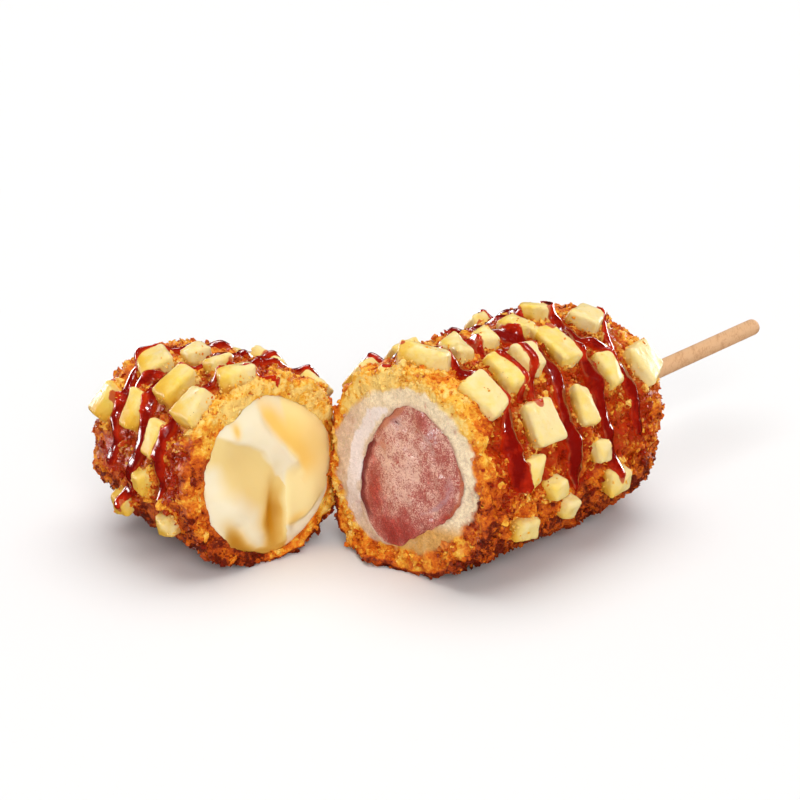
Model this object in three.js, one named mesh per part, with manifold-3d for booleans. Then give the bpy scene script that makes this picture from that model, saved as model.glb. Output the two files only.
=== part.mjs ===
// Corn dog on a wooden stick, rolled in potato cubes and fried, then cut through its middle.
// The two halves lie on a table in an open V and still touch at the cut: one holds a sausage
// on the stick, the other melted cheese. Millimetres, +X right, +Y into the V's closed side,
// +Z up, with the origin at the middle of the bounding box on the table.
//
// Each half has a frame of its own: X runs across the cut face, Y along the food away from
// the cut, Z up. An angle round the food is measured from the top towards +X, in degrees.
import * as THREE from 'three';
import { ConvexGeometry } from 'three/addons/geometries/ConvexGeometry.js';
import { mergeVertices } from 'three/addons/utils/BufferGeometryUtils.js';
import Module from 'manifold-3d';

const wasm = await Module();
wasm.setup();

// ---------------------------------------------------------------- driving dimensions

const GAP = 0.3; // between pieces that touch
const SETTLE = 0.5; // how far the crust is pressed flat on the table
const FLAT_BAND = 24; // degrees each side of straight down where the crust is smooth
const CRAG_HEIGHT = 1.7; // relief of the browned crumb
const CRAG_SIZE = 5.2; // distance between two crags
const FACE_WAVE = 0.55; // unevenness of the torn cut
const RIM_ROUND = 1.3; // rounding between the cut face and the crust
const FACE_INSETS = [ 0.5, 0.28 ]; // rings of the cut face, as shares of its radius from the rim
const CUT_THROUGH = 4; // how far a hollow reaches out of the cut face

const SAUSAGE_HALF = {
	length: 78,
	radius: 27, // at the cut
	farRadius: 28.2, // at the far end, before it is rounded
	endLength: 23,
	endPower: 2.5,
	yaw: - 43.6,
	centre: [ 17.4, - 19.2 ], // middle of the cut face, from the point where the rims meet
	sag: { angle: - 133, spread: 22, rise: 5.5, reach: 16 }, // soft crust that spread sideways at the cut
	lip: { angle: - 160, spread: 13, out: 4.5 }, // lump of crust that hangs out of the cut's lower edge
	sides: 48,
	rows: 19
};

const CHEESE_HALF = {
	length: 51.5,
	radius: 24.8,
	farRadius: 23.4,
	endLength: 19,
	endPower: 2.4,
	yaw: 41.5,
	centre: [ - 16.9, - 13.5 ],
	sag: { angle: 122, spread: 26, rise: 3.2, reach: 14 },
	lip: { angle: 160, spread: 13, out: 1.2 },
	sides: 42,
	rows: 13
};

// The sausage and its stick share an axis that starts off the middle of the cut face. Its cut
// outline is uneven: shares of the plain oval, every 15 degrees from the top towards +X.
const SAUSAGE = {
	across: 17.2,
	high: 18.2,
	length: 67,
	endLength: 14,
	endPower: 2,
	sides: 32,
	rows: [ 1.2, 6, 12, 18, 53, 59, 64 ],
	faceShares: [ 0.4, 0.75, 0.95 ],
	faceMiddle: - 0.5,
	faceRise: 0.9, // from the middle of the cut to its edge
	faceWave: 0.35,
	evenFrom: 2, // the outline turns plain between these distances from the cut
	evenTo: 18,
	outline: [
		1.07, 1.07, 1.05, 1.06, 1.02, 1.03, 0.98, 0.87, 0.78, 0.73, 0.715, 0.74,
		0.85, 1.09, 1.22, 1.215, 1.18, 1.08, 0.99, 0.935, 0.9, 0.91, 0.955, 1.04
	]
};
const FILLING_AXIS = { start: [ 2.1, - 1.6 ], sideways: - 1.0, upward: 1.0 }; // slopes in degrees
const STICK = { radius: 2.35, bare: 69, inside: 52, tip: 1.6, sides: 18 };

// The cheese's cut outline is given in the same way, as shares of its radius.
const CHEESE = {
	radius: 20.6,
	innerRadius: 18.4,
	drop: 0.2,
	length: 44,
	endLength: 14,
	endPower: 2,
	sides: 32,
	rows: [ 1.2, 5, 11, 30, 36, 41 ],
	faceShares: [ 0.2, 0.38, 0.56, 0.74, 0.9, 0.98 ],
	faceMiddle: - 0.9,
	faceRise: 1.2,
	facePower: 6,
	evenFrom: 1,
	evenTo: 12,
	outline: [
		1.0, 0.96, 0.93, 0.93, 0.975, 1.015, 1.01, 1.015, 1.07, 1.075, 1.07, 1.075,
		1.06, 1.01, 1.01, 0.945, 0.965, 0.94, 0.935, 0.955, 0.95, 0.98, 0.93, 0.975
	]
};

// Folds of the melted cheese at the cut: [x, z, half width, half height, turn, rise].
const CHEESE_FOLDS = [
	[ 10.0, 9.0, 7.5, 8.5, 0, 1.5 ], // smooth upper lobe
	[ - 12.0, - 5.0, 6.0, 8.0, 10, 1.2 ], // pale left lobe
	[ 2.5, 8.5, 2.4, 12.0, - 33, 1.1 ], // ridge that comes down from the top
	[ 12.5, - 9.0, 4.0, 7.0, - 14, 0.9 ], // and widens to a lobe
	[ - 5.5, 4.5, 7.0, 5.5, 20, - 1.5 ], // wide hollow
	[ 2.2, - 10.0, 2.4, 8.0, 2, - 2.4 ], // deep amber fold
	[ - 10.0, - 16.0, 3.0, 5.0, - 30, - 1.2 ] // hollow at the lower edge
];

// Potato cubes: [distance from the cut, angle, size along the food, size round it, turn].
const SAUSAGE_HALF_POTATOES = [
	[ 5.2, 2, 5.2, 12.0, 24 ],
	[ 8.4, 38, 8.2, 9.8, 14 ],
	[ 15.4, 5, 5.2, 9.2, - 14 ],
	[ 13.8, 82, 5.4, 7.4, 0 ],
	[ 14.0, 114, 6.6, 5.4, 0 ],
	[ 19.2, 30, 5.8, 10.4, 2 ],
	[ 20.8, 61, 8.8, 9.8, 4 ],
	[ 21.8, 95, 5.0, 5.6, 20 ],
	[ 24.8, 6, 5.0, 6.4, - 20 ],
	[ 28.4, 29, 5.2, 8.0, - 10 ],
	[ 28.4, 109, 5.0, 5.4, 0 ],
	[ 36.6, 5, 5.2, 7.4, 0 ],
	[ 40.8, 27, 6.6, 11.8, 0 ],
	[ 37.0, 61, 5.0, 9.4, 0 ],
	[ 38.6, 85, 4.8, 6.0, 0 ],
	[ 47.8, 0, 5.6, 7.6, 20 ],
	[ 50.0, 50, 5.0, 8.6, 0 ],
	[ 47.0, 105, 7.2, 5.4, 0 ],
	[ 57.0, 18, 9.6, 8.4, 18 ],
	[ 63.8, 52, 9.6, 8.8, 18 ]
];

const CHEESE_HALF_POTATOES = [
	[ 4.6, - 12, 5.2, 8.6, - 16 ],
	[ 5.6, - 41, 6.4, 8.6, 0 ],
	[ 12.2, - 10, 5.0, 5.4, 0 ],
	[ 16.7, - 33, 6.0, 11.0, - 4 ],
	[ 13.2, - 65, 4.6, 8.2, 0 ],
	[ 16.6, - 91, 4.6, 5.4, 0 ],
	[ 9.4, - 114, 4.6, 5.2, 0 ],
	[ 24.8, - 55, 4.6, 8.8, 0 ],
	[ 27.0, - 112, 5.4, 5.6, 0 ],
	[ 23.4, - 8, 5.2, 5.6, 0 ],
	[ 30.4, - 25, 8.4, 7.8, - 24 ],
	[ 36.6, - 58, 7.2, 8.0, - 18 ]
];

// The far sides carry the same cubes in plain rows: [distance, angles ...].
const SAUSAGE_HALF_FAR_ROWS = [
	[ 9, - 54, - 86 ],
	[ 22, - 48, - 80, - 114 ],
	[ 36, - 60, - 96 ],
	[ 50, - 48, - 80, - 114 ],
	[ 63, - 62, - 100 ],
	[ 71, - 130 ]
];
const CHEESE_HALF_FAR_ROWS = [
	[ 9, 54, 86 ],
	[ 22, 50, 80, 112 ],
	[ 35, 60, 98 ],
	[ 45, 66, 148 ]
];
const FAR_POTATO = { shortest: 5.4, longest: 9.6, jitter: 1.4, turn: 20 };

const POTATO = { proud: 3.4, depth: 4.6, thinDepth: 2.7, bevel: 0.6, skew: 0.8 };

// Ketchup strands lie round the food: distance from the cut, sideways wave, first and last
// angle, width, and how wide the drop at the low end is.
const SAUCE_HEIGHT = 1.0;
const SAUCE_SUNK = 1.3;
const SAUCE_STEPS = 14;
const SAUCE_SECTION = [ [ 0, - 1 ], [ 0.5, - 0.2 ], [ 0.3, 0.75 ], [ - 0.3, 0.75 ], [ - 0.5, - 0.2 ] ];
const SAUCE_DROP_SHARE = 0.14; // of the strand, at each end, that is as wide as its drop
const SAUSAGE_HALF_SAUCE = [
	{ at: 11.0, wave: 2.2, phase: 150, from: - 84, to: 92, width: 3.8, drop: 5.6 },
	{ at: 31.8, wave: 1.3, phase: 20, from: - 92, to: 100, width: 4.2, drop: 6.6 },
	{ at: 44.6, wave: 1.4, phase: 250, from: - 70, to: 101, width: 3.8, drop: 5.6 },
	{ at: 55.2, wave: 1.6, phase: 200, from: - 96, to: 88, width: 3.4, drop: 4.6 }
];
const CHEESE_HALF_SAUCE = [
	{ at: 10.4, wave: 1.0, phase: 60, from: - 108, to: 84, width: 3.6, drop: 4.8 },
	{ at: 21.8, wave: 1.4, phase: 120, from: - 112, to: 96, width: 3.8, drop: 5.8 },
	{ at: 31.0, wave: 1.5, phase: 30, from: - 92, to: 72, width: 3.4, drop: 4.4 }
];

// ---------------------------------------------------------------- small tools

const radians = THREE.MathUtils.degToRad;
const smoothstep = THREE.MathUtils.smoothstep;

function seededRandom( seed ) {

	let state = seed;
	return function next() {

		state = ( state + 0x6D2B79F5 ) | 0;
		let t = Math.imul( state ^ ( state >>> 15 ), 1 | state );
		t = ( t + Math.imul( t ^ ( t >>> 7 ), 61 | t ) ) ^ t;
		return ( ( t ^ ( t >>> 14 ) ) >>> 0 ) / 4294967296;

	};

}

// Smooth noise between -1 and 1, one value for each whole-numbered corner of space.
function cornerValue( x, y, z ) {

	let h = Math.imul( x, 374761393 ) + Math.imul( y, 668265263 ) + Math.imul( z, 1274126177 );
	h = Math.imul( h ^ ( h >>> 13 ), 1103515245 );
	return ( ( h ^ ( h >>> 16 ) ) >>> 0 ) / 2147483648 - 1;

}

function noise( x, y, z ) {

	const corner = [ x, y, z ].map( Math.floor );
	const ease = [ x, y, z ].map( ( v, i ) => smoothstep( v - corner[ i ], 0, 1 ) );
	let sum = 0;
	for ( let n = 0; n < 8; n ++ ) {

		const bit = [ n & 1, ( n >> 1 ) & 1, n >> 2 ];
		const weight = bit.reduce( ( w, b, i ) => w * ( b ? ease[ i ] : 1 - ease[ i ] ), 1 );
		sum += weight * cornerValue( ...corner.map( ( c, i ) => c + bit[ i ] ) );

	}

	return sum;

}

// A closed skin over rings of points, which run anticlockwise seen from the end they lead to.
function loft( rings, firstTip, lastTip ) {

	const sides = rings[ 0 ].length;
	const points = [ firstTip, ...rings.flat(), lastTip ];
	const last = points.length - 1;
	const index = [];
	const at = ( row, side ) => 1 + row * sides + side % sides;
	for ( let side = 0; side < sides; side ++ ) {

		index.push( 0, at( 0, side + 1 ), at( 0, side ) );
		for ( let row = 0; row < rings.length - 1; row ++ ) {

			const [ a, b ] = [ at( row, side ), at( row, side + 1 ) ];
			const [ c, d ] = [ at( row + 1, side ), at( row + 1, side + 1 ) ];
			index.push( a, b, d, a, d, c );

		}

		index.push( at( rings.length - 1, side ), at( rings.length - 1, side + 1 ), last );

	}

	const geometry = new THREE.BufferGeometry().setFromPoints( points );
	geometry.setIndex( index );
	return geometry;

}

// The seams and poles of a geometry are closed before it becomes a solid.
function toSolid( geometry ) {

	const bare = new THREE.BufferGeometry();
	bare.setAttribute( 'position', geometry.attributes.position.clone() );
	if ( geometry.index ) bare.setIndex( geometry.index.clone() );
	const merged = mergeVertices( bare, 1e-4 );
	const triangles = [];
	for ( let i = 0; i < merged.index.count; i += 3 ) {

		const [ a, b, c ] = [ 0, 1, 2 ].map( ( n ) => merged.index.getX( i + n ) );
		if ( a !== b && b !== c && c !== a ) triangles.push( a, b, c );

	}

	return new wasm.Manifold( new wasm.Mesh( {
		numProp: 3,
		vertProperties: new Float32Array( merged.attributes.position.array ),
		triVerts: new Uint32Array( triangles )
	} ) );

}

function toGeometry( solid ) {

	const mesh = solid.getMesh();
	const geometry = new THREE.BufferGeometry();
	geometry.setAttribute( 'position', new THREE.BufferAttribute( mesh.vertProperties, 3 ) );
	geometry.setIndex( new THREE.BufferAttribute( mesh.triVerts, 1 ) );
	geometry.computeVertexNormals();
	return geometry;

}

// ---------------------------------------------------------------- form of the coating

function endFactor( part, along ) {

	const k = THREE.MathUtils.clamp( ( along - part.length + part.endLength ) / part.endLength, 0, 1 );
	return Math.pow( 1 - Math.pow( k, part.endPower ), 1 / part.endPower );

}

function plainRadius( half, along ) {

	return THREE.MathUtils.lerp( half.radius, half.farRadius, along / half.length ) * endFactor( half, along );

}

function floorLevel( half ) {

	return SETTLE - half.radius;

}

// Crags push the crust in and out, except where the food rests: there it is smooth and flat.
function cragAt( along, angle, radius ) {

	const turn = radians( angle );
	const [ u, v, w ] = [ Math.sin( turn ) * radius, along, Math.cos( turn ) * radius ]
		.map( ( value ) => value / CRAG_SIZE );
	const crag = 0.7 * noise( u, v, w ) + 0.3 * noise( 2.1 * u + 7, 2.1 * v, 2.1 * w );
	const fromBottom = 180 - Math.abs( THREE.MathUtils.euclideanModulo( angle + 180, 360 ) - 180 );
	return CRAG_HEIGHT * crag * smoothstep( fromBottom, FLAT_BAND, FLAT_BAND + 20 );

}

// How much of a bump shows at an angle, given the bump's middle and spread in degrees.
function bumpShare( bump, angle ) {

	const away = THREE.MathUtils.euclideanModulo( angle - bump.angle + 180, 360 ) - 180;
	return Math.exp( - Math.pow( away / bump.spread, 2 ) );

}

// The crust's distance from its plain radius: crags, and the sag beside the cut.
function crustRise( half, along, angle, radius ) {

	const sag = half.sag.rise * bumpShare( half.sag, angle ) * ( 1 - smoothstep( along, 0, half.sag.reach ) );
	return cragAt( along, angle, radius ) + sag;

}

function crustPoint( half, along, angle, radius ) {

	const turn = radians( angle );
	const z = Math.max( Math.cos( turn ) * radius, floorLevel( half ) );
	return new THREE.Vector3( Math.sin( turn ) * radius, along, z );

}

function ringAngles( sides ) {

	return Array.from( { length: sides }, ( _, side ) => 360 * side / sides );

}

function coatingForm( half ) {

	const angles = ringAngles( half.sides );
	const rings = [];
	for ( const inset of [ ...FACE_INSETS.map( ( share ) => half.radius * share ), RIM_ROUND ] ) {

		rings.push( angles.map( ( angle ) => {

			const atRim = inset === RIM_ROUND;
			const rise = atRim ? crustRise( half, 0, angle, half.radius ) : 0;
			const point = crustPoint( half, 0, angle, half.radius - inset + rise );
			point.y = FACE_WAVE * noise( point.x / 7, 5, point.z / 7 );
			if ( atRim ) point.y -= half.lip.out * bumpShare( half.lip, angle );
			return point;

		} ) );

	}

	const straight = half.length - half.endLength;
	for ( let row = 0; row < half.rows; row ++ ) {

		const turn = row / half.rows * ( 1 + half.endLength * 0.5 * Math.PI / straight );
		const along = turn <= 1
			? RIM_ROUND + turn * ( straight - RIM_ROUND )
			: straight + half.endLength * Math.sin( ( turn - 1 ) * straight / half.endLength );
		const radius = plainRadius( half, along );
		rings.push( angles.map( ( angle ) =>
			crustPoint( half, along, angle, radius + crustRise( half, along, angle, radius ) ) ) );

	}

	return loft( rings, new THREE.Vector3( 0, 0, 0 ), new THREE.Vector3( 0, half.length, 0 ) );

}

// ---------------------------------------------------------------- ketchup strands

function strandForm( half, strand ) {

	const place = ( angle, across, up ) => {

		const along = strand.at + strand.wave * Math.sin( radians( 3 * angle + strand.phase ) ) + across;
		const plain = plainRadius( half, along );
		const radius = plain + crustRise( half, along, angle, plain ) + up * ( up > 0 ? SAUCE_HEIGHT : SAUCE_SUNK );
		const turn = radians( angle );
		return new THREE.Vector3( Math.sin( turn ) * radius, along, Math.cos( turn ) * radius );

	};

	const rings = [];
	for ( let step = 1; step < SAUCE_STEPS; step ++ ) {

		const t = step / SAUCE_STEPS;
		const angle = THREE.MathUtils.lerp( strand.from, strand.to, t );
		const ends = Math.min( 1, 0.35 + 3 * Math.min( t, 1 - t ) );
		const width = Math.min( t, 1 - t ) < SAUCE_DROP_SHARE ? strand.drop : strand.width;
		rings.push( SAUCE_SECTION.map( ( [ across, up ] ) => place( angle, across * width * ends, up * ends ) ) );

	}

	return loft( rings, place( strand.from, 0, - 0.2 ), place( strand.to, 0, - 0.2 ) );

}

// ---------------------------------------------------------------- potato cubes

// Eight corners pushed about, each cut back along its three edges.
function cubePoints( size, skews, bevel ) {

	const points = [];
	for ( let n = 0; n < 8; n ++ ) {

		const sign = [ n & 1, ( n >> 1 ) & 1, n >> 2 ].map( ( bit ) => 2 * bit - 1 );
		const corner = sign.map( ( s, i ) => s * size[ i ] / 2 + skews[ n ][ i ] );
		if ( bevel === 0 ) points.push( new THREE.Vector3( ...corner ) );
		for ( let keep = 0; bevel > 0 && keep < 3; keep ++ ) {

			const cut = corner.map( ( value, i ) => value - ( i === keep ? 0 : sign[ i ] * bevel ) );
			points.push( new THREE.Vector3( ...cut ) );

		}

	}

	return points;

}

function farPotatoes( rows, random ) {

	const span = FAR_POTATO.longest - FAR_POTATO.shortest;
	const size = () => FAR_POTATO.shortest + span * random();
	const wander = ( reach ) => reach * ( 2 * random() - 1 );
	return rows.flatMap( ( [ along, ...angles ] ) => angles.map( ( angle ) => [
		along + wander( FAR_POTATO.jitter ), angle, size(), size(), wander( FAR_POTATO.turn )
	] ) );

}

function makePotatoes( half, places, depth, random ) {

	return places.map( ( [ along, angle, length, width, turn ] ) => {

		const push = () => POTATO.skew * ( 2 * random() - 1 );
		const skews = Array.from( { length: 8 }, () => [ push(), push(), push() ] );
		const proud = POTATO.proud * ( 0.85 + 0.3 * random() );
		const height = proud + depth;
		const slope = Math.atan( ( plainRadius( half, along - 1 ) - plainRadius( half, along + 1 ) ) / 2 );
		const placing = new THREE.Matrix4().makeRotationY( radians( angle ) )
			.multiply( new THREE.Matrix4().makeTranslation( 0, along, plainRadius( half, along ) ) )
			.multiply( new THREE.Matrix4().makeRotationX( - slope ) )
			.multiply( new THREE.Matrix4().makeRotationZ( radians( turn ) ) )
			.multiply( new THREE.Matrix4().makeTranslation( 0, 0, proud - height / 2 ) );
		const form = ( grow, bevel ) => new ConvexGeometry( cubePoints(
			[ width + grow, length + grow, height + grow ], skews, bevel ) ).applyMatrix4( placing );
		return { cube: form( 0, POTATO.bevel ), pocket: form( 2 * GAP, 0 ) };

	} );

}

// ---------------------------------------------------------------- fillings and stick

const fillingPlace = new THREE.Matrix4()
	.makeTranslation( FILLING_AXIS.start[ 0 ], 0, FILLING_AXIS.start[ 1 ] )
	.multiply( new THREE.Matrix4().makeRotationZ( - radians( FILLING_AXIS.sideways ) ) )
	.multiply( new THREE.Matrix4().makeRotationX( radians( FILLING_AXIS.upward ) ) );

// Share of its plain size that a filling reaches at an angle, smooth between the outline's values.
function outlineShare( filling, along, angle ) {

	const place = angle / 360 * filling.outline.length;
	const low = Math.floor( place );
	const [ before, after ] = [ low, low + 1 ].map( ( n ) => filling.outline[ n % filling.outline.length ] );
	const share = THREE.MathUtils.lerp( before, after, smoothstep( place - low, 0, 1 ) );
	return THREE.MathUtils.lerp( share, 1, smoothstep( along, filling.evenFrom, filling.evenTo ) );

}

// The hollow for the sausage is its form grown all round and driven out of the cut face.
function sausageForm( grow ) {

	const out = grow > 0 ? CUT_THROUGH : 0;
	const angles = ringAngles( SAUSAGE.sides );
	const ringAt = ( along, share, push ) => angles.map( ( angle ) => {

		const turn = radians( angle );
		const factor = share * outlineShare( SAUSAGE, along, angle ) * endFactor( SAUSAGE, along );
		return new THREE.Vector3(
			Math.sin( turn ) * ( SAUSAGE.across * factor + push ),
			along,
			Math.cos( turn ) * ( SAUSAGE.high * factor + push ) );

	} );

	const rings = SAUSAGE.faceShares.map( ( share ) => ringAt( 0, share, 0 ).map( ( point ) => {

		const wave = SAUSAGE.faceWave * noise( point.x / 5, 2, point.z / 5 );
		point.y = SAUSAGE.faceMiddle + SAUSAGE.faceRise * share * share + wave - out;
		return point;

	} ) );
	for ( const along of SAUSAGE.rows ) rings.push( ringAt( along, 1, grow ) );
	const middle = new THREE.Vector3( 0, SAUSAGE.faceMiddle - out, 0 );
	const end = new THREE.Vector3( 0, SAUSAGE.length + grow, 0 );
	return loft( rings, middle, end ).applyMatrix4( fillingPlace );

}

function cheeseFaceLift( x, z ) {

	let lift = 0;
	for ( const [ foldX, foldZ, halfWidth, halfHeight, turn, rise ] of CHEESE_FOLDS ) {

		const [ c, s ] = [ Math.cos( radians( turn ) ), Math.sin( radians( turn ) ) ];
		const across = ( ( x - foldX ) * c - ( z - foldZ ) * s ) / halfWidth;
		const up = ( ( x - foldX ) * s + ( z - foldZ ) * c ) / halfHeight;
		lift += rise * Math.exp( - across * across - up * up );

	}

	return lift;

}

// The cheese is widest at the cut, where it has spread over the dough.
function cheeseForm( grow ) {

	const out = grow > 0 ? CUT_THROUGH : 0;
	const angles = ringAngles( CHEESE.sides );
	const ringAt = ( along, share, push ) => angles.map( ( angle ) => {

		const turn = radians( angle );
		const radius = THREE.MathUtils.lerp( CHEESE.radius, CHEESE.innerRadius,
			smoothstep( along, CHEESE.evenFrom, CHEESE.evenTo ) );
		const reach = radius * share * outlineShare( CHEESE, along, angle ) * endFactor( CHEESE, along ) + push;
		return new THREE.Vector3(
			Math.sin( turn ) * reach,
			along,
			Math.cos( turn ) * reach - CHEESE.drop );

	} );

	const faceLevel = ( share, x, z ) =>
		CHEESE.faceMiddle + CHEESE.faceRise * Math.pow( share, CHEESE.facePower ) - cheeseFaceLift( x, z ) - out;
	const rings = CHEESE.faceShares.map( ( share ) => ringAt( 0, share, 0 ).map( ( point ) => {

		point.y = faceLevel( share, point.x, point.z );
		return point;

	} ) );
	for ( const along of CHEESE.rows ) rings.push( ringAt( along, 1, grow ) );
	const middle = new THREE.Vector3( 0, faceLevel( 0, 0, - CHEESE.drop ), - CHEESE.drop );
	return loft( rings, middle, new THREE.Vector3( 0, CHEESE.length + grow, - CHEESE.drop ) );

}

function stickForm( grow ) {

	const [ inner, outer ] = [ SAUSAGE_HALF.length - STICK.inside - grow, SAUSAGE_HALF.length + STICK.bare ];
	const radius = STICK.radius + grow;
	const profile = [ new THREE.Vector2( 0, inner ) ];
	for ( const t of [ 0, 0.5, 1 ] ) {

		const turn = t * Math.PI / 2;
		const inset = STICK.tip * ( 1 - Math.sin( turn ) );
		profile.push( new THREE.Vector2( radius - inset, inner + STICK.tip * ( 1 - Math.cos( turn ) ) ) );

	}

	const start = profile.slice( 1 );
	for ( const point of start.reverse() ) profile.push( new THREE.Vector2( point.x, inner + outer - point.y ) );
	profile.push( new THREE.Vector2( 0, outer ) );
	return new THREE.LatheGeometry( profile, STICK.sides ).applyMatrix4( fillingPlace );

}

// ---------------------------------------------------------------- assembly

function finish( color, roughness ) {

	return new THREE.MeshStandardMaterial( { color, roughness, metalness: 0 } );

}

const crustFinish = finish( 0xc9802f, 0.75 );
const potatoFinish = finish( 0xeed98a, 0.5 );
const sausageFinish = finish( 0xb8635d, 0.45 );
const cheeseFinish = finish( 0xf6dfa4, 0.3 );
const stickFinish = finish( 0xc99a68, 0.6 );

function addMesh( parent, name, geometry, material ) {

	const mesh = new THREE.Mesh( geometry, material );
	mesh.name = name;
	parent.add( mesh );

}

function halfGroup( half ) {

	const group = new THREE.Group();
	group.position.set( half.centre[ 0 ], half.centre[ 1 ], half.radius - SETTLE );
	group.rotation.z = radians( half.yaw );
	group.updateMatrix();
	return group;

}

function makeCoating( half, strands, potatoes, hollows ) {

	let coating = toSolid( coatingForm( half ) );
	for ( const strand of strands ) coating = coating.add( toSolid( strandForm( half, strand ) ) );
	for ( const hollow of hollows ) coating = coating.subtract( toSolid( hollow ) );
	for ( const { pocket } of potatoes ) coating = coating.subtract( toSolid( pocket ) );
	return coating;

}

function addPotatoes( group, potatoes, firstNumber ) {

	potatoes.forEach( ( { cube }, i ) => {

		const number = String( firstNumber + i ).padStart( 2, '0' );
		addMesh( group, `potato_${ number }`, toGeometry( toSolid( cube ) ), potatoFinish );

	} );

}

const random = seededRandom( 41 );
const sausageHalf = halfGroup( SAUSAGE_HALF );
const cheeseHalf = halfGroup( CHEESE_HALF );

const sausagePotatoes = makePotatoes( SAUSAGE_HALF,
	[ ...SAUSAGE_HALF_POTATOES, ...farPotatoes( SAUSAGE_HALF_FAR_ROWS, random ) ], POTATO.depth, random );
const cheesePotatoes = makePotatoes( CHEESE_HALF,
	[ ...CHEESE_HALF_POTATOES, ...farPotatoes( CHEESE_HALF_FAR_ROWS, random ) ], POTATO.thinDepth, random );

// The crust of the sausage half is dented where the other half's rim presses on it.
const cheeseCoating = makeCoating( CHEESE_HALF, CHEESE_HALF_SAUCE, cheesePotatoes, [ cheeseForm( GAP ) ] );
const press = coatingForm( { ...CHEESE_HALF, radius: CHEESE_HALF.radius + GAP } )
	.translate( 0, - GAP, 0 )
	.applyMatrix4( cheeseHalf.matrix )
	.applyMatrix4( sausageHalf.matrix.clone().invert() );
const sausageCoating = makeCoating( SAUSAGE_HALF, SAUSAGE_HALF_SAUCE, sausagePotatoes,
	[ sausageForm( GAP ), stickForm( GAP ), press ] );

addMesh( sausageHalf, 'coating_sausage_half', toGeometry( sausageCoating ), crustFinish );
addMesh( sausageHalf, 'sausage',
	toGeometry( toSolid( sausageForm( 0 ) ).subtract( toSolid( stickForm( GAP ) ) ) ), sausageFinish );
addMesh( sausageHalf, 'stick', toGeometry( toSolid( stickForm( 0 ) ) ), stickFinish );
addPotatoes( sausageHalf, sausagePotatoes, 1 );
addMesh( cheeseHalf, 'coating_cheese_half', toGeometry( cheeseCoating ), crustFinish );
addMesh( cheeseHalf, 'cheese', toGeometry( toSolid( cheeseForm( 0 ) ) ), cheeseFinish );
addPotatoes( cheeseHalf, cheesePotatoes, sausagePotatoes.length + 1 );

const cornDog = new THREE.Group();
cornDog.add( sausageHalf, cheeseHalf );
cornDog.updateMatrixWorld( true );
const box = new THREE.Box3().setFromObject( cornDog, true );
cornDog.position.set( - ( box.min.x + box.max.x ) / 2, - ( box.min.y + box.max.y ) / 2, - box.min.z );

export default cornDog;
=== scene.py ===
"""Corn dog with potato cubes and ketchup, cut across and laid open, as a small Blender add-on.

Every size is in millimetres until a mesh is made, and each half of the food has a frame of its own: X across
the cut face, Y along the food away from the cut, Z up. An angle round the food runs from the top towards +X.
"""
import math

import bpy
import numpy as np
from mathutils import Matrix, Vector
from mathutils.bvhtree import BVHTree


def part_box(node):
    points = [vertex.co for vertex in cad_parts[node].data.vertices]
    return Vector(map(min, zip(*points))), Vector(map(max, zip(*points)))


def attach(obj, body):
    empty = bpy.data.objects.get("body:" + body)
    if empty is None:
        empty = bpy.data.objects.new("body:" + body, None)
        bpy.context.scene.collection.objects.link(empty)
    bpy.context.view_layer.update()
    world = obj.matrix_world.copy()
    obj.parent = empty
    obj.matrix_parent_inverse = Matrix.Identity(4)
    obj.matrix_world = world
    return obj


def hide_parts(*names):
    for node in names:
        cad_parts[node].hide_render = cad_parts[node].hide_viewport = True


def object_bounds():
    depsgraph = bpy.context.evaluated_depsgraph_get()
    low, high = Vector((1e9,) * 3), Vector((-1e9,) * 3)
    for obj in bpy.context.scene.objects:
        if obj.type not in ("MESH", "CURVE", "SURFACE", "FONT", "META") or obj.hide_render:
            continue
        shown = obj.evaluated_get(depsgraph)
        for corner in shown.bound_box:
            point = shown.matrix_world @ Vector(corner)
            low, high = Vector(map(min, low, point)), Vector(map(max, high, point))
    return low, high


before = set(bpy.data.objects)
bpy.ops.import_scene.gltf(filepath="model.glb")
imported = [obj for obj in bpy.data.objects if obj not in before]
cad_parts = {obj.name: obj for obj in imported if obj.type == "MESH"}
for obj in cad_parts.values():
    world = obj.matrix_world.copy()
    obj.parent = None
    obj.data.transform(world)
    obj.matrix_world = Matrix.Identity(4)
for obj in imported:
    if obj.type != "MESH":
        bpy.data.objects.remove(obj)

bl_info = {
    "name": "Corn dog",
    "version": (1, 0, 0),
    "blender": (4, 5, 0),
    "location": "3D View > Sidebar > Corn dog",
    "description": "Fries, fills and sauces a corn dog that is cut in two",
    "category": "Object",
}

CAD_BOX = [list(corner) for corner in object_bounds()]
MM = 0.001
FULL_TURN = 6.28

# ---------------------------------------------------------------- form of the food, as in the solids

SETTLE = 0.5  # how far the crust is pressed flat on the table
FLAT_BAND = 24.0  # degrees each side of straight down without crags
CRAG_HEIGHT = 1.7
CRAG_SIZE = 5.2
FACE_WAVE = 0.55
FACE_WAVE_SIZE = 7
RIM_ROUND = 1.3
GAP = 0.3  # round the stick, and between the halves where they touch
FLUSH = 0.05  # between a filling and the dough round it

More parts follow.
